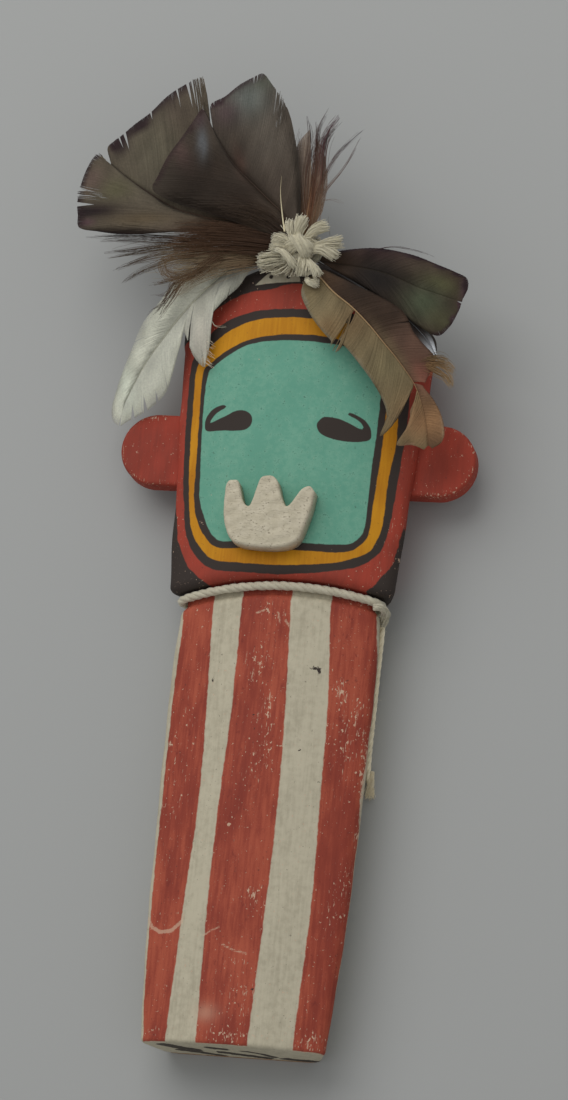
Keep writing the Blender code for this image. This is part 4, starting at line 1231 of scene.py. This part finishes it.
feathers = {
    "brownFeatherLeft": dict(node="brown_feather_left", slot="brown_feather", layer=2, seed=41,
        sheen=0.02,
        shaft=((-3.5, 101.5), (-7.8, 102.5), (-17.4, 105.5), (-26.7, 108.3), (-34.2, 110.2),
            (-41.1, 113.8), (-47.3, 117.7), (-52.6, 121.6)),
        rachis=(0.24, (78, 60, 44), (50, 38, 36)), rise=0.12,
        look=dict(base=(90, 81, 68),
            patches=((-14, 104, 17, 8, 15, (48, 35, 26), 1), (-28, 104, 9, 4, 5, (72, 54, 40), 0.8),
                (-40.3, 126, 8, 10, 0, (98, 92, 76), 0.8), (-36, 136, 4, 6, 60, (90, 78, 68), 0.6),
                (-47, 133, 5, 1.6, 45, (50, 38, 38), 0.9),
                (-50.5, 126.5, 2.6, 2, 60, (52, 40, 40), 0.9),
                (-50.9, 114.9, 4.5, 3, 10, (94, 90, 66), 0.8),
                (-57.3, 117.5, 2.6, 3.4, 0, (104, 86, 78), 0.8),
                (-55, 109, 6.5, 2.1, 4, (40, 30, 30), 1),
                (-58.4, 108.6, 1.8, 1.5, 0, (34, 25, 28), 0.9),
                (-58, 105.9, 2.2, 1.1, 0, (88, 60, 70), 0.8),
                (-43, 107.2, 8, 1.8, 4, (96, 82, 62), 0.8), (-24, 122, 8, 16, 20, (70, 60, 48), 0.5),
                (-47, 103.6, 12, 1, 1, (44, 32, 28), 0.9), (-30, 128, 6, 10, 30, (78, 68, 56), 0.6))),
        vanes=(
            dict(barbs=480, bow=0.05, bands=(((48, 34, 36), 2.3, 0.47, 0.95),),
                frays=((0.45, 0.03, 0.5),),
                slits=((0.505, 7, 0.7), (0.485, 7, 0.4), (0.56, 4.8, 0.5), (0.7, 2.2, 0.5),
                    (0.842, 5.5, 0.8), (0.868, 4.2, 0.5)),
                edge=((0.03, -6.5, 104.5), (0.2, -17.6, 118.4), (0.34, -27.6, 132.4), (0.4, -30.6, 139),
                    (0.44, -31.4, 145.6), (0.48, -34, 144.9), (0.56, -37.7, 142.6),
                    (0.63, -40.8, 139.9), (0.7, -44, 136.2), (0.78, -47.7, 132.9), (0.85, -50.6, 130),
                    (0.9, -52.6, 128.3), (0.96, -54.2, 126.4), (1, -53.2, 123.2))),
            dict(barbs=460, bow=-0.04,
                bands=(((40, 29, 30), 1.7, 0.1, 0.37), ((50, 36, 38), 1, 0.4, 1)),
                slits=((0.6, 3.6, 1), (0.515, 6, 1.2)), frays=((0.58, 0.03, 0.3), (0.97, 0.05, 0.6)),
                edge=((0.03, -10, 100.8), (0.1, -22, 103.2), (0.16, -33.2, 104.6), (0.22, -42.4, 103.4),
                    (0.28, -48.3, 103.1), (0.34, -54.3, 103.7), (0.4, -59.2, 104.6), (0.46, -60, 108),
                    (0.52, -60.5, 111.2), (0.6, -60.3, 114.7), (0.72, -59.4, 119.2), (0.85, -58, 122.9),
                    (0.95, -56.6, 124.2), (1, -54.2, 122.6))))),
    "brownFeatherTop": dict(node="brown_feather_top", slot="dark_feather", layer=3, seed=42, sheen=0.02,
        shaft=((-2.6, 102.6), (-4.2, 104.9), (-6.7, 109.7), (-9.5, 112.2), (-13.4, 115.7),
            (-19.6, 121.3), (-23.1, 125.7), (-26.5, 131)),
        rachis=(0.2, (66, 50, 38), (52, 42, 38)), rise=0.1,
        look=dict(base=(73, 64, 55),
            patches=((-22, 107, 11, 4.5, 10, (62, 46, 34), 0.9),
                (-12.8, 108.9, 5, 3.5, 30, (86, 66, 46), 0.7), (-10.3, 118, 5, 9, 0, (88, 77, 67), 0.8),
                (-12, 130, 6, 9, 10, (98, 90, 80), 0.8),
                (-18.3, 139.6, 5.5, 5, 0, (104, 108, 102), 0.95),
                (-14.8, 144.6, 3.4, 2, 0, (92, 96, 84), 0.8),
                (-23.5, 135.6, 3.5, 3.5, 40, (86, 70, 70), 0.8),
                # The next two darkest patches are partly the feather's own dark brown and partly
                # painted shade between the feathers.
                (-29, 116, 12, 10, 40, (40, 32, 25), 1), (-18, 112, 9, 7, 20, (45, 35, 27), 1),
                (-24, 121, 5, 4, 40, (52, 42, 34), 0.7),
                (-28.8, 127.3, 1.2, 4, 8, (108, 112, 116), 0.7),
                (-30.2, 133.6, 1.8, 2.4, 0, (74, 58, 60), 0.8),
                (-34.5, 125, 2.2, 5, 30, (84, 64, 60), 0.7),
                (-18.6, 122.5, 1.3, 4.5, 20, (88, 56, 46), 0.35))),
        vanes=(
            dict(barbs=480, bow=0.05, bands=(((60, 44, 46), 1.3, 0.6, 0.97),),
                frays=((0.47, 0.03, 0.5),),
                slits=((0.67, 1.7, 0.4), (0.655, 1.2, 0.3), (0.5, 3.2, 0.45), (0.46, 3.6, 0.4),
                    (0.42, 3.2, 0.3), (0.955, 2.2, 0.4), (0.93, 1.5, 0.3)),
                edge=((0.03, -1.8, 104.6), (0.1, -2.6, 116), (0.2, -4, 124.6), (0.3, -5.8, 131.6),
                    (0.4, -7.7, 136.9), (0.48, -10.4, 140.9), (0.55, -12.8, 144), (0.61, -15, 146.4),
                    (0.67, -17.2, 145.6), (0.76, -20.8, 143.3), (0.86, -24.3, 140.1),
                    (0.95, -27.7, 137.9), (1, -27.3, 134.6))),
            dict(barbs=440, bow=-0.04, bands=(((64, 48, 46), 1.2, 0.4, 1),), slits=((0.42, 1.4, 0.3),),
                edge=((0.03, -7.6, 103.6), (0.15, -23.7, 108.4), (0.28, -34.9, 111.4),
                    (0.37, -40.4, 114.4), (0.46, -39.4, 118.4), (0.56, -37.4, 123.6),
                    (0.68, -34.4, 128.8), (0.82, -31.6, 133.8), (0.93, -29.9, 136.4),
                    (1, -27.6, 133.4))))),
    "wispyFeather": dict(node="wispy_feather", slot="wispy_feather", layer=2, seed=43, sheen=0.05,
        shaft=((-0.8, 103), (-0.6, 107.3), (-0.3, 112.2), (0, 117.1)),
        rachis=(0.5, (116, 92, 64), (98, 70, 50)),
        quill=(((-5, 104), (-6, 108.7), (-6.8, 113.8), (-6.9, 118.1)), 0.22, (206, 196, 164),
            (150, 138, 110), 5),
        look=dict(base=(126, 112, 99), patches=((0.6, 112, 4, 10, 0, (98, 72, 50), 0.9),)),
        vanes=(
            dict(barbs=200, bow=-0.03, cover=0.45, camber=0.2, vary=0.08, blunt=0.5, point=0.7,
                edge=((0.05, -5.2, 110), (0.2, -7.2, 116), (0.45, -6, 122.6), (0.7, -4.6, 128.6),
                    (1, -2, 132.6))),
            dict(barbs=120, bow=0.03, cover=0.4, camber=0.2, vary=0.08, blunt=0.4, point=0.7,
                edge=((0.05, 3.4, 111), (0.35, 4, 117.6), (0.7, 2.8, 124.6), (1, 0.6, 129.6)))),
        tufts=(
            (((-1.2, 108), (-3.8, 118), (-4.6, 126), (-4.4, 132.6)), 12, 0.8, 0.12, (120, 104, 92),
                (66, 50, 50)),
            (((-0.8, 108), (-1.8, 120), (-1.6, 130), (-3, 136.4)), 16, 0.6, 0.1, (104, 76, 54),
                (52, 38, 42)),
            (((-0.2, 108), (0.2, 118), (0.2, 129), (-0.7, 135.4)), 18, 0.6, 0.15, (104, 72, 50),
                (56, 40, 40)),
            (((0.2, 108), (0.8, 118), (0.3, 128), (0.6, 133.4), (2.7, 138.4)), 18, 0.6, 0.08,
                (110, 74, 50), (58, 44, 46)),
            (((0.6, 108), (1.6, 118), (1.8, 127), (2.6, 132), (5.6, 136.9)), 44, 0.7, 0.4,
                (112, 78, 54), (80, 54, 62)),
            (((0.8, 108), (2, 118), (2, 127), (2.8, 131), (5.6, 134.9)), 40, 0.7, 0.5, (108, 78, 56),
                (60, 58, 54)),
            (((-0.6, 108), (-1, 118), (-0.6, 126), (0.4, 132)), 26, 0.7, 0.5, (104, 72, 50),
                (70, 52, 50)),
            (((-1, 108), (-3, 116), (-3.6, 124), (-3.2, 130)), 40, 1.2, 0.6, (112, 96, 82),
                (104, 90, 82)),
            (((0.6, 107), (1.6, 115.7), (4.8, 124.6), (8, 129), (12, 133.2)), 12, 0.5, 0.06,
                (112, 78, 56), (52, 42, 50)),
            (((0.8, 107), (2.2, 114.4), (6.9, 121.1), (9.1, 125.2), (11.4, 131)), 7, 0.4, 0.05,
                (116, 88, 66), (74, 56, 56)),
            (((0.5, 107), (1.3, 111), (4.2, 117), (7, 121)), 6, 0.4, 0.3, (126, 108, 92),
                (120, 104, 96)),
            (((0.2, 104), (1.2, 108), (1.8, 113), (2.2, 118)), 26, 0.8, 0.5, (112, 88, 60),
                (128, 110, 92)),
            (((1, 112), (2.5, 113.1), (4.6, 113.9), (6.7, 113.8), (8.4, 112.8)), 4, 0.2, 0.1,
                (112, 100, 92), (120, 112, 108)),
            (((5, 109.6), (5.2, 107.4), (5.8, 105.4), (6.2, 102.8)), 2, 0.05, 0.05, (112, 110, 106),
                (112, 110, 106)))),
    "bronzeFeather": dict(node="bronze_feather", slot="bronze_feather", layer=1, seed=44, sheen=0.02,
        shaft=((1.5, 98.9), (5, 98.1), (19.3, 95.9), (29.8, 92), (40.3, 88.9)),
        rachis=(0.05, (44, 36, 30), (72, 66, 48)), rise=0.02,
        look=dict(base=(62, 50, 40),
            patches=((10.5, 97.3, 6, 5, 0, (80, 60, 44), 0.8),
                (20, 100.4, 9, 1.8, 0, (62, 42, 42), 0.9), (18.5, 94.4, 11, 7, -20, (30, 25, 22), 1),
                (30, 97.2, 7, 2.2, -20, (74, 62, 52), 0.7), (35, 93.4, 5, 2.2, -22, (84, 82, 56), 0.9),
                (31.5, 88, 5.5, 4.5, -30, (74, 82, 62), 0.9), (36, 84, 4, 3, -30, (78, 76, 54), 0.8),
                (41.4, 92.6, 1.4, 3.4, 0, (84, 62, 68), 0.9))),
        vanes=(
            dict(barbs=380, bow=0.05, camber=0.15, bands=(((52, 38, 40), 1.2, 0.1, 0.98),),
                edge=((0.05, 5, 100.2), (0.15, 11.6, 101.6), (0.28, 19.7, 102), (0.42, 28, 100.4),
                    (0.56, 34.2, 98.2), (0.7, 38.6, 96.5), (0.85, 41.3, 95.2), (0.93, 41.9, 92.8),
                    (1, 41, 90))),
            dict(barbs=380, bow=-0.05, camber=0.15, bands=(((70, 50, 54), 0.9, 0.55, 0.98),),
                slits=((0.93, 1.8, 0.5),),
                edge=((0.05, 7.5, 96), (0.18, 15.6, 92), (0.32, 22.6, 87.6), (0.45, 29.7, 82.6),
                    (0.57, 35.2, 79.8), (0.7, 38.2, 82.3), (0.82, 39.9, 85.9), (0.92, 40.6, 88.4),
                    (1, 40.8, 89.6)))),
        tufts=(
            (((17, 101.6), (21.3, 102.4), (25.1, 102.2), (29.4, 101.4), (33.8, 99.8)), 3, 0.08, 0.06,
                (60, 44, 44), (52, 40, 42)),)),
    "tanFeather": dict(node="tan_feather", slot="tan_feather", layer=2, seed=45, sheen=0.02,
        shaft=((0.8, 97), (4.5, 93.4), (8.6, 89.4), (13.4, 85.8), (18.4, 81.1), (22.5, 76.6),
            (26.6, 72.1), (31.7, 65.3), (34.7, 57.1), (36, 50.8)),
        rachis=(0.24, (146, 122, 90), (120, 92, 64)), rise=0.12,
        look=dict(base=(114, 100, 73),
            patches=((4, 86, 5, 5, -45, (132, 118, 88), 0.9),
                (8, 80, 3.5, 3.5, -45, (128, 104, 72), 0.8), (13.6, 80.5, 3, 4, 0, (112, 92, 64), 0.7),
                (23.6, 70.5, 5, 5, -50, (114, 104, 76), 0.7), (26, 60, 4, 5, -70, (112, 98, 70), 0.6),
                (34, 57, 6, 6, -70, (138, 104, 72), 0.95),
                (14.6, 82.2, 5, 2, -45, (108, 88, 62), 0.6))),
        vanes=(
            dict(barbs=490, bow=-0.05, camber=0.15,
                bands=(((142, 132, 108), 0.35, 0.05, 0.64), ((150, 120, 92), 0.35, 0.86, 1)),
                slits=((0.292, 10.5, 4.6), (0.742, 16, 2.6)),
                edge=((0.06, 0.4, 92.6), (0.1, 0.2, 88.6), (0.15, 2.4, 84.4), (0.2, 5.2, 80.6),
                    (0.25, 8.4, 77.4), (0.285, 10.8, 75.6), (0.3, 10.6, 79), (0.34, 11.6, 76.6),
                    (0.4, 14.8, 73.2), (0.47, 19.8, 67.4), (0.54, 23.4, 62.2), (0.6, 25, 57.6),
                    (0.66, 23.8, 52.6), (0.7, 26.4, 55.2), (0.735, 29.2, 60.6), (0.75, 30.8, 58.6),
                    (0.8, 30.2, 54.6), (0.86, 28.2, 50.5), (0.93, 32, 50.6), (1, 35, 49.6))),
            dict(barbs=440, bow=0.05, camber=0.15, bands=(((150, 120, 92), 0.35, 0.84, 1),),
                look=dict(base=(76, 58, 46),
                    patches=((16, 91, 12, 8, -42, (44, 33, 25), 1),
                        (22, 85, 8, 6, -45, (54, 40, 30), 0.9),
                        (30.1, 76, 5, 5, -45, (98, 72, 59), 0.8),
                        (33, 68.4, 4, 3, -45, (128, 81, 67), 0.9),
                        (37, 57, 6.5, 8, -70, (138, 104, 72), 1),
                        (6, 94.4, 4, 3, -42, (84, 64, 46), 0.8),
                        (25, 74.5, 9, 1.6, -50, (106, 90, 66), 0.7))),
                slits=((0.43, 4.5, 0.5), (0.72, 5, 0.9)),
                edge=((0.06, 5.5, 95.4), (0.15, 12.6, 92.2), (0.26, 19.8, 89), (0.36, 25.6, 85.8),
                    (0.42, 28, 83), (0.47, 29.8, 79.6), (0.53, 32.6, 76.6), (0.59, 35.4, 73.8),
                    (0.64, 35.4, 71.2), (0.7, 34, 67.2), (0.745, 33.6, 65.6), (0.8, 36.2, 62.6),
                    (0.86, 38.6, 58.6), (0.92, 39.8, 54.2), (0.96, 39.2, 51.6), (1, 37.2, 50)))),
        tufts=(
            (((34, 71.8), (36.4, 72), (38.6, 71.4), (41, 69.6)), 50, 0.8, 0.5, (112, 86, 58),
                (142, 118, 84)),
            (((34.4, 71), (37.2, 69.8), (39.2, 68.4), (41, 65.4)), 50, 0.7, 0.4, (112, 86, 58),
                (146, 122, 88)),
            (((33, 72.6), (36.5, 73.4), (39.4, 72.4)), 24, 0.6, 0.4, (96, 76, 54), (120, 104, 78)))),
    "whitePlume": dict(node="white_plume", slot="white_feather", layer=0, seed=46, sheen=0.2,
        plume=True,
        shaft=((-4.5, 100.4), (-8.8, 100.4), (-15.1, 99.6), (-21.8, 94.6), (-27.9, 88.4), (-31.9, 83.8),
            (-36, 78.4), (-39.7, 73.2), (-43, 67.2), (-45.6, 62)),
        rachis=(0.14, (176, 172, 148), (186, 186, 168)), rise=0.12,
        look=dict(base=(172, 172, 157), gain=1.72,
            patches=((-26, 78, 4, 9, 0, (156, 150, 138), 0.8),
                # The next two grey patches are painted shade, where the plume lies under the down by
                # the tie.
                (-14, 98, 10, 7, -30, (116, 114, 102), 0.9), (-18, 92.5, 5, 5, 0, (128, 126, 116), 0.7),
                (-46, 68, 3, 9, 20, (176, 180, 164), 0.8))),
        vanes=(
            dict(barbs=350, bow=0.03, cover=0.8, camber=0.25, vary=0.025, blunt=0.4, point=0.7,
                pull=0.02, clumps=5,
                edge=((0.06, -9.9, 102), (0.2, -20.7, 100.2), (0.33, -33.6, 93.2), (0.45, -38.1, 87.7),
                    (0.56, -42.2, 82.2), (0.66, -44.7, 75.4), (0.75, -46.7, 69.8), (0.84, -48.4, 64.2),
                    (0.92, -49, 60.6), (0.97, -48.4, 57.9), (1, -46.8, 56.6))),
            dict(barbs=440, bow=-0.03, cover=0.8, camber=0.25, vary=0.025, blunt=0.4, point=0.7,
                slits=((0.475, 12, 1.6), (0.91, 4.2, 1), (0.83, 5, 1.1), (0.75, 3.6, 0.8)), pull=0.03,
                clumps=6,
                edge=((0.06, -11, 98.6), (0.13, -14.6, 95.4), (0.18, -17.4, 91), (0.24, -21.1, 87.6),
                    (0.29, -24, 83.4), (0.33, -23.4, 78.6), (0.38, -23.8, 73), (0.43, -24.4, 70.7),
                    (0.46, -27.4, 73.6), (0.49, -30.4, 79.4), (0.55, -31.4, 76), (0.62, -32.6, 70.6),
                    (0.7, -34.4, 64.6), (0.78, -37.8, 61.2), (0.86, -40.8, 59.4), (0.93, -43.8, 58),
                    (1, -46.4, 56.6)))),
        tufts=(
            (((-23.4, 82.6), (-22.4, 81.4), (-20.4, 81.1), (-18.2, 81.3)), 2, 0.05, 0.05,
                (176, 172, 150), (176, 172, 150)),
            *((((-24.6, 78.4 - 0.9 * k), (-23.2, 77.4 - 0.9 * k), (-21.8, 76.6 - 0.9 * k)),
                2, 0.2, 0.3, (186, 170, 150), (192, 176, 154)) for k in range(8)))),
    "smallWhiteFeather": dict(node="small_white_feather", slot="white_feather", layer=0, seed=47,
        sheen=0.2, shaft=((2.5, 98.6), (14, 92.6), (24, 86.6), (31, 80.8), (34.6, 76)),
        # Painted shade: this white feather and its shaft's root are coloured dark brown, all but the
        # white patch at the tip, for the deep shade in the gap between the tan and bronze feathers.
        rachis=(0.25, (60, 50, 44), (150, 152, 156)),
        look=dict(base=(52, 42, 36), patches=((35, 77.2, 3, 3, -60, (206, 210, 214), 1),), gain=1.5),
        vanes=(
            dict(barbs=220, bow=0.04, camber=0.3, vary=0.03,
                edge=((0.1, 8, 97), (0.4, 20, 90.4), (0.7, 30.2, 83.2), (0.86, 33.6, 79.8),
                    (1, 35.2, 75.6))),
            dict(barbs=220, bow=-0.04, camber=0.3, vary=0.03,
                edge=((0.1, 6, 94.6), (0.4, 16.4, 88), (0.7, 26.6, 81.6), (0.88, 31.6, 77.2),
                    (1, 34.4, 75))))),
    "downyFeather": dict(node="downy_feather", slot="down", layer=1, seed=48, sheen=0.04,
        shaft=((-5, 100.6), (-12, 100), (-19, 99.6), (-26, 99.4)),
        rachis=(0.3, (60, 44, 32), (80, 60, 44)), vanes=(), look=dict(base=(70, 54, 40)),
        tufts=(
            (((-5, 101), (-16, 101.6), (-27, 102), (-36, 103)), 150, 1.6, 1.6, (60, 43, 30),
                (88, 62, 45)),
            (((-6, 99.8), (-16, 99.4), (-25, 98.8), (-33, 99.6)), 150, 1.3, 1.7, (68, 48, 34),
                (104, 80, 58)),
            (((-14, 99), (-22, 98), (-29, 96.6), (-34, 95)), 70, 0.9, 1.5, (72, 54, 40),
                (120, 102, 78)),
            (((-24, 102), (-37, 103.2), (-45, 103.6), (-58, 103.1)), 14, 0.9, 0.08, (70, 52, 40),
                (50, 44, 42)),
            (((-26, 101.4), (-36, 102.2), (-47.6, 102.4), (-54.3, 102.1)), 18, 1, 0.1, (84, 64, 48),
                (70, 62, 56)),
            (((-24, 101), (-32.9, 101.6), (-40.7, 100.6), (-46.5, 99.7), (-52.9, 98.8)), 22, 1, 0.1,
                (96, 76, 56), (66, 58, 52)),
            (((-22, 100), (-28.9, 100.9), (-35.2, 100.6), (-41.3, 99.4), (-51.8, 97.2)), 24, 1, 0.1,
                (112, 92, 68), (72, 64, 56)),
            (((-22, 99), (-28, 99.4), (-34.6, 99), (-40.3, 97.8), (-45.3, 96.1), (-49.8, 94.2)), 26, 1,
                0.1, (128, 108, 82), (62, 52, 46)),
            (((-20, 98), (-24.6, 97.8), (-32.5, 98), (-37.8, 95.9), (-43, 93.7), (-47.1, 90.7)), 26,
                0.9, 0.1, (134, 116, 90), (66, 56, 50)),
            (((-20, 97), (-27, 95.6), (-31.1, 93.4), (-35.7, 91.5), (-40.3, 90.2)), 22, 0.8, 0.1,
                (110, 88, 64), (88, 74, 60)),
            (((-25, 96), (-30, 92.6), (-33.9, 91.1), (-35.1, 88.1), (-39.1, 87.8)), 12, 0.5, 0.1,
                (104, 78, 56), (70, 58, 50)),
            (((-29, 93), (-33.5, 90.3), (-35.6, 85.8), (-39.3, 82.7)), 12, 0.5, 0.1, (104, 80, 58),
                (62, 56, 50)),
            (((-31, 92), (-33.7, 88.5), (-36.2, 84.7), (-37.7, 82)), 10, 0.5, 0.08, (104, 80, 58),
                (66, 58, 52)),
            (((-31.6, 91), (-33.2, 87.2), (-34.7, 84.7), (-36.7, 81.1)), 10, 0.5, 0.08, (104, 80, 58),
                (60, 52, 46)),
            (((-13, 98.4), (-21, 97.6), (-29, 96.2), (-37, 95.4)), 70, 1.2, 1.8, (104, 86, 64),
                (146, 130, 104), 0.9),
            (((-14, 97.6), (-22, 95.4), (-28, 92.6), (-33, 88.4)), 44, 1, 1.4, (104, 84, 62),
                (138, 122, 98), 0.9),
            (((-6, 102.6), (-16, 103.9), (-25, 104.2), (-34, 103.6)), 200, 1.2, 1.7, (56, 39, 28),
                (80, 58, 42), 2.6),
            (((-5, 101), (-14, 101.6), (-24, 102), (-34, 101)), 110, 1.2, 1.6, (56, 39, 28),
                (90, 66, 47), 2),
            (((-5, 104), (-10, 107.6), (-15, 109.6), (-22, 110.6)), 60, 1.2, 1.3, (50, 37, 27),
                (58, 45, 34), 3.9),
            (
                ((-22, 98.4), (-24.6, 96.4), (-27.6, 93.6), (-30.7, 92.4), (-34.2, 92.4), (-36, 94.3),
                    (-35.5, 96.3), (-33.2, 97.6)),
                30, 1, 0.5, (80, 60, 43), (108, 86, 62), 1.6),
            (((-28, 98), (-33, 97.4), (-36.4, 96.2), (-36.9, 94), (-35.2, 92.2), (-33.2, 92.8)), 14, 1,
                0.5, (84, 64, 46), (110, 90, 66), 1.6))),
}


def makeFeather(name, plan):
    random = np.random.default_rng(plan["seed"])
    droop = layers["plumeDroop"] if plan.get("plume") else layers["droop"]
    shaft = evenCurve(plan["shaft"], 24)
    layer = plan["layer"]
    parts = [makeRachis(plan["shaft"], *plan["rachis"], layer, droop, plan.get("rise", 0.2))]
    for vane in plan["vanes"]:
        parts.append(makeVane(shaft, vane, plan["look"], layer, droop, random))
    parts += makeTufts(plan.get("tufts", ()), layer, droop, random)
    if "quill" in plan:
        parts.append(makeRachis(*plan["quill"], droop))
    points, faces = joined(parts)
    meshPiece(name, plan["node"], plan["slot"], points, faces,
              featherMaterial(name + " barbs", plan["sheen"], 0.7),
              colours=np.vstack([part[2] for part in parts]))


for featherName, featherPlan in feathers.items():
    makeFeather(featherName, featherPlan)
print("feathers made")


# Stage: a plain pale floor, one large soft light from the upper left and a faint fill.

stage = dict(floorSize=1600.0, floor=seen(173, 174, 172, 1.0), light=(-330.0, 640.0, 860.0),
             lightSize=1200.0, power=6.6, fill=0.44)


def makeStage():
    size = stage["floorSize"]
    corners = np.array([(-size, -size, 0), (size, -size, 0), (size, size, 0),
                        (-size, size, 0)], dtype=float)
    mesh = bpy.data.meshes.new("floor")
    mesh.from_pydata([tuple(p * mm) for p in corners], [], [(0, 1, 2, 3)])
    material, shader, start, place = newMaterial("floor", 0.95, 0.1)
    shader.inputs["Base Color"].default_value = stage["floor"]
    mesh.materials.append(material)
    floor = bpy.data.objects.new("floor", mesh)
    bpy.context.scene.collection.objects.link(floor)
    data = bpy.data.lights.new("soft light", "AREA")
    data.shape = "DISK"
    data.size = stage["lightSize"] * mm
    data.energy = stage["power"]
    light = bpy.data.objects.new("soft light", data)
    spot = Vector(stage["light"]) * mm
    light.location = spot
    aim = Vector(camera["target"]) * mm - spot
    light.rotation_euler = aim.to_track_quat("-Z", "Y").to_euler()
    bpy.context.scene.collection.objects.link(light)
    world = bpy.data.worlds.new("studio")
    world.use_nodes = True
    world.node_tree.nodes["Background"].inputs[0].default_value = (0.98, 0.99, 1.0, 1)
    world.node_tree.nodes["Background"].inputs[1].default_value = stage["fill"]
    bpy.context.scene.world = world
    bpy.context.scene.view_settings.view_transform = "Standard"


makeStage()
